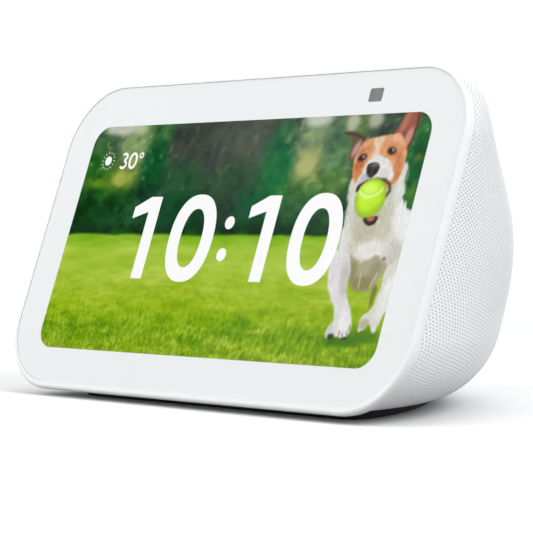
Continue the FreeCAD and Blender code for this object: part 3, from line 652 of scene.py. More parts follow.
def knit_material():
    """Spacer knit: staggered round holes between raised columns of loops, in yarn of
    two near greys, with fuzz and a soft sheen; the holes and the valleys between
    the columns are painted darker as shade."""
    s = Shader("spacer_knit", Sheen_Weight=0.25, Sheen_Roughness=0.6)
    place = s.add("ShaderNodeAttribute", {}, attribute_name="knit").outputs["Vector"]
    split = s.add("ShaderNodeSeparateXYZ", {"Vector": place})
    jitter = s.sum("MULTIPLY", s.sum("SUBTRACT", s.noise(1.6, detail=2.0), 0.5), 0.22)
    u = s.sum("ADD", split.outputs[0], jitter)
    w = s.sum("ADD", split.outputs[1], jitter)
    rib = s.ranged(s.sum("COSINE", s.sum("MULTIPLY", u, 2 * math.pi / WALE)), 1.0, 0.0, -1.0, 1.0)
    valley_turn = s.sum("COSINE", s.sum("MULTIPLY", u, math.pi / WALE))
    along = s.sum("COSINE", s.sum("MULTIPLY", w, 2 * math.pi / COURSE))
    hole = s.ranged(s.sum("MULTIPLY", valley_turn, along), 0.0, 1.0, 0.4, 0.95)
    fuzz = s.noise(0.16, detail=4.0, rough=0.7)
    tone = s.mix(s.noise(9.0, detail=3.0), linear(241, 242, 245), linear(247, 247, 248))
    yarn = s.mix(s.ranged(fuzz, 0.0, 0.35, 0.35, 0.75), tone, linear(222, 224, 228))
    # painted shade: the valleys between the raised columns are painted greyer, and the holes darker and
    # bluish grey, than the yarn
    yarn_and_valley_shade = s.mix(s.ranged(rib, 0.35, 0.0), yarn, linear(214, 217, 222))
    s.set(Base_Color=s.mix(s.sum("MULTIPLY", hole, 0.75), yarn_and_valley_shade, linear(176, 179, 186)),
          Roughness=s.ranged(fuzz, 0.8, 0.95))
    height = s.sum("MULTIPLY_ADD", hole, -1.0, s.sum("MULTIPLY_ADD", fuzz, 0.25, s.sum("MULTIPLY", rib, 0.5)))
    s.bump(height, 0.16, 0.9)
    return s.material


make_cover()


# ---------------------------------------------------------------- picture on the screen

PICTURE_MARGIN = 0.6         # runs this far behind the white print
GRID = 0.3
LEFT = -SCREEN_W / 2 - PICTURE_MARGIN
BOTTOM = SCREEN_V - SCREEN_H / 2 - PICTURE_MARGIN
COLUMNS = int((SCREEN_W + 2 * PICTURE_MARGIN) / GRID) + 1
ROWS = int((SCREEN_H + 2 * PICTURE_MARGIN) / GRID) + 1
X, V = np.meshgrid(LEFT + GRID * np.arange(COLUMNS), BOTTOM + GRID * np.arange(ROWS))
HORIZON = 42.0


def cloud(seed, wide, tall=None):
    """Smooth noise from 0 to 1 with bumps of that size."""
    tall = tall or wide
    rng = np.random.default_rng(seed)
    lattice = rng.random((int(80 / tall) + 4, int(140 / wide) + 4))
    fx = (X - LEFT) / wide
    fy = (V - BOTTOM) / tall
    ix, iy = fx.astype(int), fy.astype(int)
    tx, ty = step(fx - ix, 0, 1), step(fy - iy, 0, 1)
    low = lattice[iy, ix] * (1 - tx) + lattice[iy, ix + 1] * tx
    high = lattice[iy + 1, ix] * (1 - tx) + lattice[iy + 1, ix + 1] * tx
    return low * (1 - ty) + high * ty


def layered(seed, wide, tall=None, layers=3):
    tall = tall or wide
    total = sum(cloud(seed + i, wide / 2 ** i, tall / 2 ** i) / 2 ** i for i in range(layers))
    return total / sum(0.5 ** i for i in range(layers))


def oval(x, v, wide, tall, turn=0.0, soft=0.5):
    """Mask of an ellipse with a soft edge; turn is in degrees."""
    a = math.radians(turn)
    dx, dv = X - x, V - v
    across = (dx * math.cos(a) + dv * math.sin(a)) / wide
    along = (-dx * math.sin(a) + dv * math.cos(a)) / tall
    reach = min(wide, tall)
    return step((1 - np.hypot(across, along)) * reach, -soft / 2, soft / 2)


def smooth_loop(points, per_side=6):
    """Closed Catmull-Rom curve through the points."""
    p = np.array(points, float)
    out = []
    for i in range(len(p)):
        a, b, c, d = p[i - 1], p[i], p[(i + 1) % len(p)], p[(i + 2) % len(p)]
        for t in np.arange(per_side) / per_side:
            out.append(0.5 * (2 * b + (c - a) * t + (2 * a - 5 * b + 4 * c - d) * t ** 2
                              + (3 * b - a - 3 * c + d) * t ** 3))
    return np.array(out)


def distance_to(loop, closed=True):
    """Distance from each picture point to a line, and whether it lies inside it."""
    best = np.full(X.shape, 1e9)
    inside = np.zeros(X.shape, bool)
    ends = np.roll(loop, -1, axis=0) if closed else loop[1:]
    for (ax, av), (bx, bv) in zip(loop, ends):
        ex, ev = bx - ax, bv - av
        size = ex * ex + ev * ev + 1e-12
        t = np.clip(((X - ax) * ex + (V - av) * ev) / size, 0, 1)
        best = np.minimum(best, np.hypot(X - ax - t * ex, V - av - t * ev))
        if closed:
            crosses = (av > V) != (bv > V)
            inside ^= crosses & (X < ax + (V - av) * ex / (ev if abs(ev) > 1e-9 else 1e-9))
    return best, inside


def patch(points, soft=0.5, ragged=0.0, seed=0):
    """Mask of a smooth closed shape; ragged frays its edge like fur."""
    best, inside = distance_to(smooth_loop(points))
    signed = np.where(inside, best, -best)
    if ragged:
        signed = signed + ragged * (cloud(seed, 0.7, 1.2) - 0.5)
    return step(signed, -soft / 2, soft / 2)


def stroke(points, width, soft=0.3):
    """Mask of a line of that width."""
    best, _ = distance_to(np.array(points, float), closed=False)
    return step(width / 2 - best, -soft / 2, soft / 2)


class Picture:
    def __init__(self):
        self.rgb = np.zeros(X.shape + (3,))

    def lay(self, mask, colour, share=1.0):
        colour = np.asarray(colour, float)
        self.rgb += (colour - self.rgb) * (mask * share)[..., None]


def paint_trees(picture):
    """Blurred wood behind the meadow."""
    height = (V - HORIZON) / (SCREEN_V + SCREEN_H / 2 - HORIZON)
    low, high = np.array([10.0, 58.0, 24.0]), np.array([62.0, 82.0, 62.0])
    picture.rgb[:] = low + (high - low) * step(height, 0.0, 0.9)[..., None]
    # broad masses of foliage: x, v, half width, half height, colour
    masses = [(-61, 67, 8, 7, (56, 100, 56)), (-58, 60, 9, 5, (16, 90, 16)), (-57, 56, 8, 2.6, (62, 112, 14)),
              (-58, 50, 10, 5, (2, 66, 8)), (-44, 68, 7, 7, (124, 150, 96)), (-46, 58, 6, 5, (136, 154, 58)),
              (-45, 52, 7, 3, (20, 90, 18)), (-45, 47, 9, 4, (6, 62, 22)), (-34, 68, 5, 9, (46, 104, 50)),
              (-33, 60, 6, 7, (4, 90, 40)), (-33, 51, 7, 5, (10, 62, 32)), (-19, 66, 12, 10, (58, 66, 58)),
              (-22, 56, 8, 6, (32, 78, 46)), (-21, 48, 9, 5, (8, 72, 36)), (0, 67, 13, 9, (72, 80, 71)),
              (-1, 55, 9, 7, (50, 80, 56)), (-2, 47, 8, 4, (40, 60, 46)), (8, 50, 6, 5, (22, 88, 52)),
              (13, 61, 6, 10, (30, 104, 58)), (15, 55, 4, 8, (16, 108, 52)), (23, 67, 6, 6, (128, 156, 110)),
              (24, 59, 5, 6, (156, 168, 98)), (24, 53, 7, 3, (64, 116, 48)), (30, 48, 9, 4, (34, 84, 46)),
              (34, 63, 5, 8, (84, 126, 84)), (34, 55, 5, 4, (96, 140, 62)), (38, 69, 4, 5, (98, 130, 72)),
              (59, 71, 6, 4, (40, 84, 40)), (60, 60, 6, 10, (8, 90, 36)), (60, 50, 6, 5, (20, 92, 30))]
    for x, v, wide, tall, colour in masses:
        picture.lay(oval(x, v, wide, tall, soft=6.0), colour, 0.9)
    # clusters of leaves, thrown out of focus; the shaded middle of the wood is smoother
    leafy = 0.4 + 0.6 * np.maximum(step(X, -24, -36), step(X, 8, 18))
    blots = (layered(11, 5.0, 4.0) - 0.5) * leafy
    picture.rgb += blots[..., None] * np.array([58.0, 62.0, 34.0])
    sprays = (layered(17, 2.2, 1.8, 2) - 0.5) * leafy
    picture.rgb += sprays[..., None] * np.array([46.0, 48.0, 26.0])
    gaps = step(cloud(19, 1.7, 1.5), 0.72, 0.95) * leafy * step(V, 50.0, 56.0)
    picture.lay(gaps, (186, 196, 118), 0.34)
    # pale gaps of sky and sunlit leaves
    for x, v, wide, tall, colour in [
            (-52, 72.4, 7, 2.2, (214, 216, 204)), (-44, 71.6, 2.2, 1.6, (186, 196, 160)),
            (24, 72.6, 5, 2.4, (212, 212, 202)), (36, 71.0, 2.0, 2.6, (196, 196, 178)),
            (43.5, 71.4, 2.4, 2.2, (196, 196, 178)), (23.5, 60.4, 3.0, 3.0, (178, 180, 116)),
            (-55, 56.4, 4, 1.2, (96, 142, 18)), (-47, 57.6, 2.6, 2.0, (164, 174, 76)),
            (60.5, 61.4, 1.0, 0.8, (130, 128, 30)), (60.2, 52.4, 2.0, 1.2, (84, 128, 34))]:
        picture.lay(oval(x, v, wide, tall, soft=2.2), colour, 0.8)
    # deep shade under the trees
    shade = step(V, HORIZON + 4.5, HORIZON + 0.4) * (0.35 + 0.65 * cloud(23, 7.0, 3.0))
    picture.lay(shade, (8, 40, 14), 0.7)
    picture.lay(step(V, HORIZON + 2.2, HORIZON + 0.6) * step(cloud(29, 5.0, 4.0), 0.45, 0.8), (22, 102, 22),
        0.6)


def paint_meadow(picture):
    """Sunlit grass, soft in the distance and sharp in front."""
    stops = [10.0, 14.0, 17.0, 20.0, 23.0, 28.0, 33.0, 38.0, HORIZON]
    levels = np.array([(126, 161, 20), (126, 164, 14), (124, 164, 10), (136, 174, 12), (148, 180, 18),
                       (158, 188, 42), (166, 196, 58), (160, 194, 56), (126, 178, 26)], float)
    grass = np.stack([np.interp(V, stops, levels[:, c]) for c in range(3)], axis=-1)
    soft = layered(31, 9.0, 2.0) - 0.5
    grass += soft[..., None] * np.array([44.0, 26.0, 56.0])
    streaks = layered(33, 5.0, 0.9) - 0.5
    grass += streaks[..., None] * np.array([24.0, 16.0, 26.0])
    # darker tussocks across the middle
    tufts = step(cloud(37, 6.0, 1.8), 0.5, 0.9) * step(V, 13.0, 17.0) * step(V, 27.0, 22.0)
    grass -= tufts[..., None] * np.array([20.0, 14.0, 8.0])
    # blades, finer and sharper towards the front
    near = step(V, 29.0, 15.0)
    blades = layered(41, 0.5, 1.2, 2) - 0.5
    tips = cloud(47, 0.42, 0.5) - 0.5
    grass += (near * blades)[..., None] * np.array([76.0, 60.0, 62.0])
    grass += (near * tips)[..., None] * np.array([50.0, 38.0, 40.0])
    clumps = layered(43, 3.4, 1.3, 2) - 0.5
    grass += (near * clumps)[..., None] * np.array([46.0, 34.0, 30.0])
    middle = step(V, 36.0, 24.0) * (1 - near)
    grass += (middle * (layered(53, 1.4, 0.6, 2) - 0.5))[..., None] * np.array([44.0, 32.0, 40.0])
    for x, v, wide, tall, colour, share in [
            (-58, 17, 8, 4, (106, 156, 2), 0.6), (44, 18, 8, 4, (108, 156, 6), 0.6),
            (18, 33, 8, 4, (186, 206, 124), 0.5), (0, 38, 8, 2.2, (170, 198, 90), 0.5),
            (-24, 31, 12, 3, (176, 202, 72), 0.5), (-40, 21, 9, 1.6, (150, 184, 60), 0.4)]:
        picture.lay(oval(x, v, wide, tall, soft=5.0), colour, share * 0.8)
    edge = step(V + 0.5 * (cloud(59, 4.0) - 0.5), HORIZON + 0.6, HORIZON - 0.5)
    picture.lay(edge, grass)


def fur(seed, wide=0.34, tall=0.9):
    return layered(seed, wide, tall, 2) - 0.5


def paint_dog(picture):
    """A small dog running towards the viewer with a ball in its mouth."""
    white, cream = (226, 225, 220), (203, 199, 184)
    # shade on the grass under the paws
    picture.lay(oval(50.5, 16.6, 6.5, 1.5, soft=1.6), (44, 104, 8), 0.75)
    picture.lay(oval(57.5, 18.0, 4.5, 1.6, soft=1.6), (58, 112, 12), 0.7)
    # hind legs seen between the front ones
    picture.lay(patch([(45.0, 17.4), (44.9, 19.4), (46.4, 20.9), (48.4, 20.3), (48.6, 17.8), (46.8, 17.1)],
        0.5),
                (206, 206, 198))
    picture.lay(patch([(56.4, 30.0), (57.8, 29.6), (57.5, 26.0), (56.6, 25.0)], 0.8), (112, 100, 60), 0.75)
    picture.lay(oval(46.8, 17.5, 1.1, 0.7, soft=0.5), (46, 44, 34), 0.9)
    # belly
    picture.lay(patch([(44.6, 38.0), (47.4, 33.4), (48.4, 31.0), (50.8, 29.0), (54.0, 28.6), (56.6, 29.8),
                       (58.0, 32.4), (60.0, 38.0)], 0.8, 0.4, 61), (172, 166, 134))
    picture.lay(oval(48.2, 33.4, 1.6, 2.6, 10, soft=1.8), (126, 120, 78), 0.55)
    picture.lay(oval(52.4, 30.4, 3.8, 1.8, soft=1.8), (130, 124, 74), 0.75)
    picture.lay(oval(55.6, 33.6, 1.6, 2.4, -20, soft=1.8), (136, 128, 96), 0.5)
    for x, v, lean in ((51.5, 31.2, 0.2), (56.6, 31.4, -1.2)):
        picture.lay(stroke([(x, v + 1.6), (x + lean * 0.5, v), (x + lean, v - 1.6)], 0.5, 0.5),
            (206, 198, 160), 0.8)
    # chest and neck
    torso = [(42.4, 58.2), (40.2, 55.4), (40.3, 52.4), (41.3, 48.5), (41.6, 43.2), (41.7, 38.2), (43.4, 35.6),
             (46.4, 37.6), (49.4, 35.9), (51.4, 35.6), (54.6, 37.4), (58.0, 36.0), (60.4, 33.4), (64.0, 32.0),
             (64.0, 45.8), (61.4, 48.4), (59.0, 51.4), (58.3, 56.0), (57.0, 60.2), (53.4, 59.6), (47.0, 58.0)]
    body = patch(torso, 1.0, 1.2, 67)
    picture.lay(body, cream)
    for x, v, wide, tall, turn, colour, share in [
            (42.6, 48.5, 1.8, 7.0, 4, (212, 214, 206), 0.9),
            (60.6, 45.5, 3.0, 6.0, 20, (240, 240, 240), 0.9),
            (56.8, 54.0, 1.6, 5.0, 0, (226, 226, 222), 0.9),
            (43.4, 40.0, 2.4, 4.0, 0, (226, 226, 222), 0.9),
            (46.4, 38.6, 1.8, 2.2, 20, (206, 198, 178), 0.6),
            (58.0, 40.4, 2.0, 3.0, 0, (216, 214, 206), 0.7),
            (52.6, 38.6, 5.0, 2.6, 0, (232, 230, 224), 0.9),
            (48.6, 43.0, 4.0, 2.4, 0, (188, 184, 158), 0.7),
            (49.8, 47.6, 4.6, 1.8, 0, (176, 176, 132), 0.6),
            (60.8, 38.0, 2.2, 3.0, 0, (200, 199, 190), 0.7),
            (54.0, 48.0, 2.6, 4.0, 0, (196, 199, 178), 0.5)]:
        picture.lay(body * oval(x, v, wide, tall, turn, soft=2.4), colour, share)
    picture.lay(oval(57.6, 36.6, 0.5, 0.45, soft=0.4), (96, 92, 84), 0.8)
    # front legs
    left_leg = [(40.5, 34.6), (41.5, 38.4), (45.6, 38.0), (47.8, 33.6), (47.8, 29.6), (49.2, 26.4),
        (51.0, 24.4),
                (52.5, 20.6), (52.4, 18.2), (50.8, 17.1), (48.2, 17.9), (46.4, 20.6), (45.7, 24.0), (43.4,
                26.8),
                (41.4, 30.4)]
    right_leg = [(64.0, 36.0), (64.0, 27.4), (61.8, 23.0), (60.6, 19.4), (59.8, 18.8), (58.2, 20.6),
        (56.6, 19.4),
                 (55.3, 19.1), (54.9, 21.4), (56.0, 23.2), (57.7, 25.0), (58.6, 28.6), (59.4, 34.6)]
    leg = patch(left_leg, 0.5, 0.5, 71)
    picture.lay(leg, (222, 221, 219))
    picture.lay(leg * oval(46.6, 31.4, 1.6, 4.6, 14, soft=1.6), (186, 184, 176), 0.7)
    picture.lay(leg * oval(50.0, 21.0, 1.6, 2.8, 14, soft=1.6), (240, 238, 238), 0.8)
    other = patch(right_leg, 0.5, 0.5, 73)
    picture.lay(other, (218, 216, 208))
    picture.lay(other * oval(61.4, 28.0, 1.6, 5.0, -12, soft=1.6), (238, 238, 236), 0.8)
    picture.lay(other * oval(56.6, 20.8, 1.6, 1.4, 0, soft=1.2), (174, 166, 140), 0.8)
    for x, v in ((51.9, 18.0), (50.6, 17.4), (49.4, 18.0), (52.3, 19.6)):
        picture.lay(stroke([(x - 0.2, v + 0.8), (x, v - 0.2)], 0.35, 0.4), (96, 88, 78), 0.7)
    picture.lay(oval(51.4, 17.2, 0.9, 0.4, soft=0.4), (38, 40, 22), 0.8)
    strands = fur(79)
    picture.rgb += ((body + leg + other).clip(0, 1) * strands)[..., None] * np.array([30.0, 30.0, 32.0])
    paint_head(picture)
    paint_ball(picture)


def paint_head(picture):
    # ears
    picture.lay(patch([(33.9, 68.0), (35.0, 68.5), (38.4, 68.3), (41.4, 66.8), (41.8, 64.6), (40.2, 62.4),
                       (38.6, 60.8), (37.3, 61.8), (37.6, 64.6), (36.9, 66.6), (35.6,
                       67.4)], 0.45), (104, 80, 64))
    picture.lay(stroke([(34.2, 68.1), (36.6, 68.0), (39.4, 67.3), (41.0, 66.4)], 0.6, 0.5), (58, 48, 44), 0.8)
    picture.lay(oval(39.3, 64.0, 1.0, 2.2, -22, soft=1.0), (202, 158, 148), 0.85)
    ear = patch([(50.6, 67.4), (51.8, 69.8), (53.4, 73.6), (57.6, 73.8), (58.0, 71.0), (57.5, 67.0),
        (56.7, 64.0),
                 (55.6, 62.8), (53.4, 65.0)], 0.45)
    picture.lay(ear, (132, 78, 60))
    picture.lay(ear * oval(53.6, 70.4, 1.2, 3.4, -24, soft=1.4), (196, 124, 88), 0.8)
    picture.lay(ear * oval(55.6, 70.4, 1.3, 3.0, -6, soft=1.4), (150, 90, 76), 0.8)
    picture.lay(ear * oval(55.6, 66.4, 1.1, 2.6, -12, soft=1.0), (214, 158, 142), 0.8)
    picture.lay(ear * oval(54.6, 64.6, 0.6, 0.9, 0, soft=0.7), (236, 196, 178), 0.6)
    picture.lay(ear * stroke([(57.3, 73.0), (57.6, 69.6), (57.0, 66.0), (56.2, 63.8)], 0.7, 0.6),
        (70, 48, 42), 0.75)
    # head
    head = patch([(39.6, 60.2), (40.0, 63.4), (41.3, 65.6), (43.0, 66.6), (46.4, 66.9), (50.0, 67.4),
        (52.4, 67.7),
                  (54.8, 65.6), (56.4, 62.4), (56.2, 59.0), (55.4, 55.8), (53.2, 54.0), (48.0, 53.0), (43.4,
                  54.2),
                  (40.8, 56.4)], 0.5, 0.35, 83)
    picture.lay(head, (220, 158, 110))
    for x, v, wide, tall, turn, colour, share in [
            (52.4, 65.6, 2.6, 1.6, -30, (232, 174, 136), 0.9),
            (41.4, 59.6, 1.2, 2.0, 0, (196, 112, 58), 0.9),
            (42.0, 57.4, 1.2, 1.6, 0, (206, 128, 72), 0.8),
            (54.6, 58.4, 1.4, 3.4, 8, (206, 130, 76), 0.9),
            (50.8, 61.4, 2.4, 0.8, 10, (206, 134, 84), 0.6),
            (53.6, 62.0, 1.4, 1.2, 0, (190, 112, 64), 0.6),
            (43.4, 63.8, 2.0, 1.2, 20, (214, 146, 98), 0.8),
            (49.6, 65.0, 1.8, 1.0, 0, (214, 150, 106), 0.7),
            (52.2, 60.4, 1.0, 1.4, 20, (226, 160, 108), 0.7),
            (42.6, 60.2, 0.8, 1.0, 0, (150, 88, 52), 0.5),
            (52.8, 64.4, 1.2, 0.4, -20, (172, 104, 66), 0.6),
            (41.6, 63.4, 1.0, 0.4, 24, (160, 96, 62), 0.6)]:
        picture.lay(head * oval(x, v, wide, tall, turn, soft=1.4), colour, share)
    # blaze and muzzle
    picture.lay(patch([(44.6, 66.2), (46.2, 66.8), (48.0, 66.6), (47.2, 63.6), (48.4, 61.0), (44.8, 60.4),
                       (45.4, 63.4)], 1.2), (236, 208, 190), 0.85)
    muzzle = patch([(44.0, 60.0), (45.6, 61.8), (48.6, 61.9), (51.6, 60.4), (53.6, 57.6), (53.2, 55.6),
                    (50.6, 56.4), (47.6, 55.6), (44.8, 55.6), (42.6, 54.4), (42.2, 56.0), (43.2,
                    57.6)], 0.7, 0.4, 89)
    picture.lay(muzzle, (230, 226, 222))
    picture.lay(muzzle * oval(44.6, 56.6, 2.2, 1.2, 20, soft=1.4), (178, 184, 190), 0.8)
    picture.lay(muzzle * oval(50.8, 57.4, 1.6, 1.2, -20, soft=1.2), (208, 206, 204), 0.7)
    picture.rgb += (head * fur(97, 0.4, 0.7))[..., None] * np.array([40.0, 38.0, 34.0])
    # eyes
    for x, v, turn in ((42.1, 61.7, 18), (51.3, 63.2, -8)):
        picture.lay(oval(x, v, 1.6, 1.1, turn, soft=0.6), (116, 66, 46), 0.85)
        picture.lay(oval(x, v, 1.25, 0.8, turn, soft=0.35), (52, 34, 32))
        picture.lay(oval(x + 0.3, v + 0.1, 0.6, 0.5, turn, soft=0.3), (166, 142, 140), 0.8)
        picture.lay(oval(x - 0.05, v, 0.42, 0.42, turn, soft=0.3), (24, 18, 20), 0.9)
        picture.lay(oval(x + 0.2, v + 0.3, 0.2, 0.16, turn, soft=0.2), (240, 236, 234), 0.9)
    # nose
    picture.lay(patch([(44.4, 59.4), (45.4, 60.3), (47.6, 60.3), (48.7, 59.2), (48.2, 57.6), (46.6, 56.5),
                       (45.0, 57.4)], 0.5), (52, 52, 54))
    picture.lay(oval(46.9, 59.7, 1.2, 0.42, 4, soft=0.5), (120, 120, 124), 0.75)
    for x in (45.5, 47.5):
        picture.lay(oval(x, 58.3, 0.42, 0.5, soft=0.3), (20, 20, 22), 0.9)
    picture.lay(stroke([(46.6, 56.8), (46.7, 55.4)], 0.3, 0.4), (96, 90, 88), 0.8)
    # lips round the ball
    picture.lay(stroke([(43.2, 53.4), (43.6, 54.6), (45.6, 55.6), (48.6, 56.2), (51.6, 55.9), (53.4, 54.8),
                        (53.9, 53.2), (53.0, 51.8)], 0.9, 0.6), (66, 56, 40), 0.85)
    picture.lay(oval(43.4, 53.9, 0.6, 0.9, 20, soft=0.5), (40, 34, 26), 0.8)
    # lower jaw
    picture.lay(patch([(47.6, 46.6), (50.0, 46.9), (52.2, 46.9), (51.8, 45.2), (50.0, 44.6), (48.3, 45.3)],
        0.5),
                (58, 30, 26))
    picture.lay(oval(50.1, 46.3, 1.2, 0.6, 6, soft=0.4), (196, 116, 112), 0.9)
    picture.lay(stroke([(48.6, 45.6), (50.0, 45.0), (51.6, 45.6)], 0.3, 0.3), (24, 20, 18), 0.8)


def paint_ball(picture):
    x, v, radius = 48.2, 51.5, 4.95
    ball = oval(x, v, radius, radius, soft=0.5)
    reach = np.hypot(X - x, V - v) / radius
    light = (1 - 0.26 * np.clip(reach, 0, 1) ** 4) + 0.05 * (-(X - x) * 0.5 + (V - v)) / radius
    felt = 1 + 0.14 * (layered(101, 0.6, 0.6, 2) - 0.5)
    colour = np.array([196.0, 244.0, 48.0]) * (light * felt)[..., None]
    picture.lay(ball, colour)
    picture.lay(ball * oval(46.8, 53.6, 3.0, 1.8, 8, soft=1.8), (218, 252, 112), 0.7)
    seam = [(44.3, 53.2), (45.6, 52.2), (47.2, 51.8), (49.0, 52.0), (50.6, 52.9), (51.4, 53.8)]
    picture.lay(ball * stroke(seam, 0.6, 0.7), (236, 252, 190), 0.7)
    picture.lay(ball * stroke([(a, b + 0.6) for a, b in seam], 0.4, 0.5), (176, 222, 60), 0.6)
    picture.lay(ball * oval(49.6, 47.6, 3.4, 1.2, 20, soft=1.6), (160, 206, 22), 0.5)


def make_picture():
    picture = Picture()
    paint_trees(picture)
    paint_meadow(picture)
    paint_dog(picture)
    levels = np.clip(picture.rgb, 2, 252) / 255.0
    light = np.where(levels <= 0.04045, levels / 12.92, ((levels + 0.055) / 1.055) ** 2.4)
    front = [panel_point(x, v, PICTURE_N) for x, v in zip(X.ravel(), V.ravel())]
    faces = []
    for j in range(ROWS - 1):
        for i in range(COLUMNS - 1):
            a = j * COLUMNS + i
            faces.append((a, a + 1, a + COLUMNS + 1, a + COLUMNS))
    # the cell behind the lit face
    rim = [j * COLUMNS for j in range(ROWS)]
    bottom = list(range(COLUMNS))
    right = [j * COLUMNS + COLUMNS - 1 for j in range(1, ROWS)]
    top = [(ROWS - 1) * COLUMNS + i for i in range(COLUMNS - 2, -1, -1)]
    loop = bottom + right + top + rim[-2:0:-1]
    vertices = list(front)
    previous = loop
    for n in (PANEL_BACK_N,):
        first = len(vertices)
        for index in loop:
            vertices.append(panel_point(float(X.ravel()[index]), float(V.ravel()[index]), n))
        current = list(range(first, first + len(loop)))
        for k in range(len(loop)):
            m = (k + 1) % len(loop)
            faces.append((previous[m], previous[k], current[k], current[m]))
        previous = current
    faces.append(tuple(reversed(previous)))
    piece = new_piece("lit_screen", vertices, faces, screen_material(), smooth=False)
    colours = np.zeros((len(vertices), 4), np.float32)
    colours[:, 3] = 1.0
    colours[:len(front), :3] = light.reshape(-1, 3)
    attribute = piece.data.color_attributes.new("picture", "FLOAT_COLOR", "POINT")
    attribute.data.foreach_set("color", colours.ravel())
    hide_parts("lcd_panel", "touch_sensor")
    return piece


SCREEN_LIGHT = 1.06          # makes up for the cover's slight tint


def screen_material():
    """Lit cell: the picture's own colours, with the faint grid of its pixels."""
    s = Shader("lit_picture", Base_Color=linear(8, 8, 9), Emission_Strength=SCREEN_LIGHT,
               Specular_IOR_Level=0.0)
    colour = s.add("ShaderNodeAttribute", {}, attribute_name="picture").outputs["Color"]
    grid = s.wave(0.13, s.at())
    s.set(Emission_Color=s.mix(s.ranged(grid, 0.0, 0.04), colour, linear(0)),
          Roughness=s.ranged(s.noise(2.0), 0.3, 0.4))
    return s.material


def white_light():
    """Lit white figures, with the same pixel grid."""
    s = Shader("lit_white", Base_Color=linear(8, 8, 9), Emission_Strength=SCREEN_LIGHT,
        Specular_IOR_Level=0.0)
    grid = s.wave(0.13, s.at())
    s.set(Emission_Color=s.mix(s.ranged(grid, 0.0, 0.03), linear(253), linear(180)),
          Roughness=s.ranged(s.noise(2.0), 0.3, 0.4))
    return s.material


make_picture()


# ---------------------------------------------------------------- figures on the screen

def oval_loop(x, v, wide, tall, power=2.0, count=72):
    """Superellipse outline with half sizes wide and tall."""
    loop = []
    for a in np.linspace(0, 2 * math.pi, count, endpoint=False):
        c, s = math.cos(a), math.sin(a)
        loop.append((x + wide * math.copysign(abs(c) ** (2 / power), c),
                     v + tall * math.copysign(abs(s) ** (2 / power), s)))
    return loop


def figures(name, shapes, material, front=PICTURE_N + INK_T, thick=INK_T):
    """Thin flat pieces from lists of closed outlines; a shape's later outlines are
    its holes. front is the height of their front faces in the panel frame."""
    curve = bpy.data.curves.new(name, "CURVE")
    curve.dimensions = "2D"
    curve.fill_mode = "BOTH"
    curve.extrude = thick / 2 * MM
    for shape in shapes:
        for loop in shape:
            line = curve.splines.new("POLY")
            line.points.add(len(loop) - 1)
            for point, (x, v) in zip(line.points, loop):
                point.co = (x * MM, v * MM, 0.0, 1.0)
            line.use_cyclic_u = True
    flat = bpy.data.objects.new(name + "_outline", curve)
    bpy.context.scene.collection.objects.link(flat)
    bpy.context.view_layer.update()
    mesh = bpy.data.meshes.new_from_object(flat.evaluated_get(bpy.context.evaluated_depsgraph_get()))
    bpy.data.objects.remove(flat)
    mesh.name = name
    for vertex in mesh.vertices:
        x, v, n = vertex.co / MM
        vertex.co = panel_point(x, v, front - thick / 2 + n)
    mesh.materials.clear()
    mesh.materials.append(material)
    piece = bpy.data.objects.new(name, mesh)
    bpy.context.scene.collection.objects.link(piece)
    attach(piece, "housing")
    weld(piece, 0.001)
    return piece


def rounded_loop(width, height, x, v, radius, count=14):
    """Outline of a rectangle with round corners, about (x, v)."""
    loop = []
    for k, (sx, sv) in enumerate(((1, 1), (-1, 1), (-1, -1), (1, -1))):
        for a in np.radians(np.linspace(90.0 * k, 90.0 * k + 90.0, count)):
            loop.append((x + sx * (width / 2 - radius) + radius * math.cos(a),
                         v + sv * (height / 2 - radius) + radius * math.sin(a)))
    return loop


def face_loop(inset, count=28):
    """The panel's outline, moved in by inset."""
    return rounded_loop(WIDTH - 2 * inset, FACE_HEIGHT - 2 * inset, 0.0, FACE_HEIGHT / 2, CORNER_R - inset,
        count)


def make_face():
    """Clear cover, the white border printed behind it, and the camera's tinted window."""
    cover = figures("face_cover", [[face_loop(RIM)]], MATERIALS["lens_glass"], 0.0, COVER_T)
    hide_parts("cover_lens")
    window = rounded_loop(SCREEN_W, SCREEN_H, 0.0, SCREEN_V, SCREEN_R)
    camera = rounded_loop(CAMERA_W, CAMERA_H, CAMERA_X, CAMERA_V, 0.5, 6)
    border = figures("face_border", [[face_loop(RIM + 0.02), window, camera]], MATERIALS["white_print"],
                     PRINT_N, PRINT_T)
    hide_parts("border_print")
    film = rounded_loop(CAMERA_W + 0.7, CAMERA_H + 0.7, CAMERA_X, CAMERA_V, 0.8, 6)
    figures("camera_window", [[film]], smoked_film(), PRINT_N - PRINT_T - 0.01, 0.06)


def smoked_film():
    """Grey see-through window over the camera, printed a little denser in places."""
    s = Shader("smoked_film", Alpha=0.84, Roughness=0.2)
    s.set(Base_Color=s.mix(s.noise(0.5, detail=3.0), linear(94, 96, 95), linear(106, 108, 107)))
    return s.material


make_face()


DIGIT_BOTTOM = 30.1
DIGIT_TOP = 52.4
STEM = 4.2


def digit_one(right):
    """A 1 whose stem ends at x = right, with a slanting flag."""
    left = right - STEM
    return [[(left, DIGIT_BOTTOM), (right, DIGIT_BOTTOM), (right, DIGIT_TOP), (left - 0.1, DIGIT_TOP),
             (left - 5.9, DIGIT_TOP - 2.8), (left - 5.9, DIGIT_TOP - 5.9), (left, DIGIT_TOP - 4.1)]]


def digit_nought(x):
    return [oval_loop(x, 41.2, 8.4, 11.7, 2.3), oval_loop(x, 41.2, 4.1, 7.85, 2.2)]


def arc(x, v, radius, start, end, width, tall=None):
    """Outline of a round stroke between two angles, in degrees."""
    tall = tall or radius
    turns = np.radians(np.linspace(start, end, 20))
    outer = [(x + (radius + width / 2) * math.cos(a), v + (tall + width / 2) * math.sin(a)) for a in turns]
    inner = [(x + (radius - width / 2) * math.cos(a), v + (tall - width / 2) * math.sin(a)) for a in turns]
    return outer + inner[::-1]


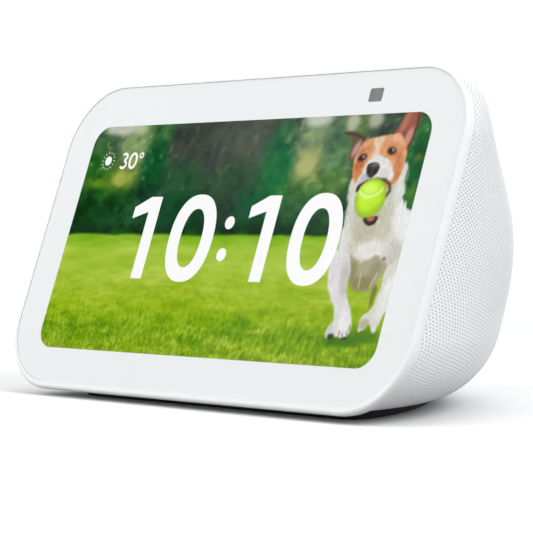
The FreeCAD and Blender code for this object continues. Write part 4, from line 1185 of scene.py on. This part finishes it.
def sun_icon(x, v, rays=14):
    shapes = [[oval_loop(x, v, 1.3, 1.3)]]
    for k in range(rays):
        a = 2 * math.pi * k / rays
        side = (-math.sin(a) * 0.07, math.cos(a) * 0.07)
        near = (x + 2.0 * math.cos(a), v + 2.0 * math.sin(a))
        far = (x + 2.7 * math.cos(a), v + 2.7 * math.sin(a))
        shapes.append([[(near[0] - side[0], near[1] - side[1]), (far[0] - side[0], far[1] - side[1]),
                        (far[0] + side[0], far[1] + side[1]), (near[0] + side[0], near[1] + side[1])]])
    return shapes


lit = white_light()
figures("clock_hours", [digit_one(-27.2), digit_nought(-11.9)], lit)
figures("clock_colon", [[oval_loop(1.4, v, 1.7, 1.7, count=40)] for v in (45.3, 36.9)], lit)
figures("clock_minutes", [digit_one(18.0), digit_nought(33.1)], lit)
figures("temperature_three", [[arc(-47.6, 63.95, 0.95, 150, -90, 0.7, 0.85)]], lit)
figures("temperature_three_bowl", [[arc(-47.6, 61.75, 1.15, 90, -150, 0.7, 1.0)]], lit)
figures("temperature_nought", [[oval_loop(-43.8, 62.75, 1.7, 2.35, 2.2),
    oval_loop(-43.8, 62.75, 0.95, 1.65, 2.2)],
                               [oval_loop(-40.7, 64.2, 0.85, 0.85, count=32),
                                oval_loop(-40.7, 64.2, 0.45, 0.45, count=32)]], lit)
figures("sun_icon", sun_icon(-54.3, 62.9), lit)


# ---------------------------------------------------------------- floor, light, camera

def make_floor():
    size = 3.0
    mesh = bpy.data.meshes.new("floor")
    mesh.from_pydata([(-size, -size, 0), (size, -size, 0), (size, size, 0), (-size, size, 0)], [],
        [(0, 1, 2, 3)])
    s = Shader("pale_floor", Specular_IOR_Level=0.1)
    seen = s.add("ShaderNodeLightPath", {}).outputs["Is Camera Ray"]
    reach = s.add("ShaderNodeVectorMath", {0: s.at()}, operation="LENGTH").outputs["Value"]
    paper = s.shaded(linear(251), s.noise(40.0, detail=4.0), 0.004)
    s.set(Base_Color=s.mix(seen, linear(172), paper),
          Roughness=s.ranged(s.noise(20.0), 0.75, 0.85),
          Alpha=s.ranged(reach, 1.0, 0.0, 260.0, 620.0))
    mesh.materials.append(s.material)
    floor = bpy.data.objects.new("floor", mesh)
    bpy.context.scene.collection.objects.link(floor)


def make_world():
    """White all round, a little weaker as light than as backdrop."""
    world = bpy.data.worlds.new("studio")
    world.use_nodes = True
    tree = world.node_tree
    tree.nodes.clear()
    output = tree.nodes.new("ShaderNodeOutputWorld")
    path = tree.nodes.new("ShaderNodeLightPath")
    seen = tree.nodes.new("ShaderNodeBackground")
    cast = tree.nodes.new("ShaderNodeBackground")
    seen.inputs["Color"].default_value = (1.0, 1.0, 1.0, 1.0)
    seen.inputs["Strength"].default_value = 1.05
    cast.inputs["Color"].default_value = (0.97, 0.985, 1.0, 1.0)
    cast.inputs["Strength"].default_value = 0.66
    either = tree.nodes.new("ShaderNodeMixShader")
    tree.links.new(path.outputs["Is Camera Ray"], either.inputs[0])
    tree.links.new(cast.outputs[0], either.inputs[1])
    tree.links.new(seen.outputs[0], either.inputs[2])
    tree.links.new(either.outputs[0], output.inputs[0])
    bpy.context.scene.world = world


def area_light(name, place, size, power, colour=(1.0, 1.0, 1.0)):
    """A square soft light aimed at the middle of the object."""
    data = bpy.data.lights.new(name, "AREA")
    data.size = size
    data.energy = power
    data.color = colour
    lamp = bpy.data.objects.new(name, data)
    lamp.location = place
    aim = Vector((0.0, 0.0, 0.04)) - Vector(place)
    lamp.rotation_euler = aim.to_track_quat("-Z", "Y").to_euler()
    bpy.context.scene.collection.objects.link(lamp)


def make_camera():
    data = bpy.data.cameras.new("camera")
    data.sensor_width = 36.0
    data.lens = 147.05
    camera = bpy.data.objects.new("camera", data)
    camera.location = Vector((404.9, -390.3, 46.3)) * MM
    camera.rotation_euler = (math.radians(90.0 - 1.24), 0.0, math.radians(47.29))
    data.clip_start = 0.01
    bpy.context.scene.collection.objects.link(camera)
    bpy.context.scene.camera = camera


make_floor()
make_world()
area_light("key", (-0.50, -0.80, 0.45), 0.7, 5.2)
area_light("top", (0.1, 0.2, 1.0), 0.8, 1.6)
area_light("side", (0.80, 0.05, 0.55), 0.6, 4.9)
make_camera()
bpy.context.scene.view_settings.view_transform = "Standard"
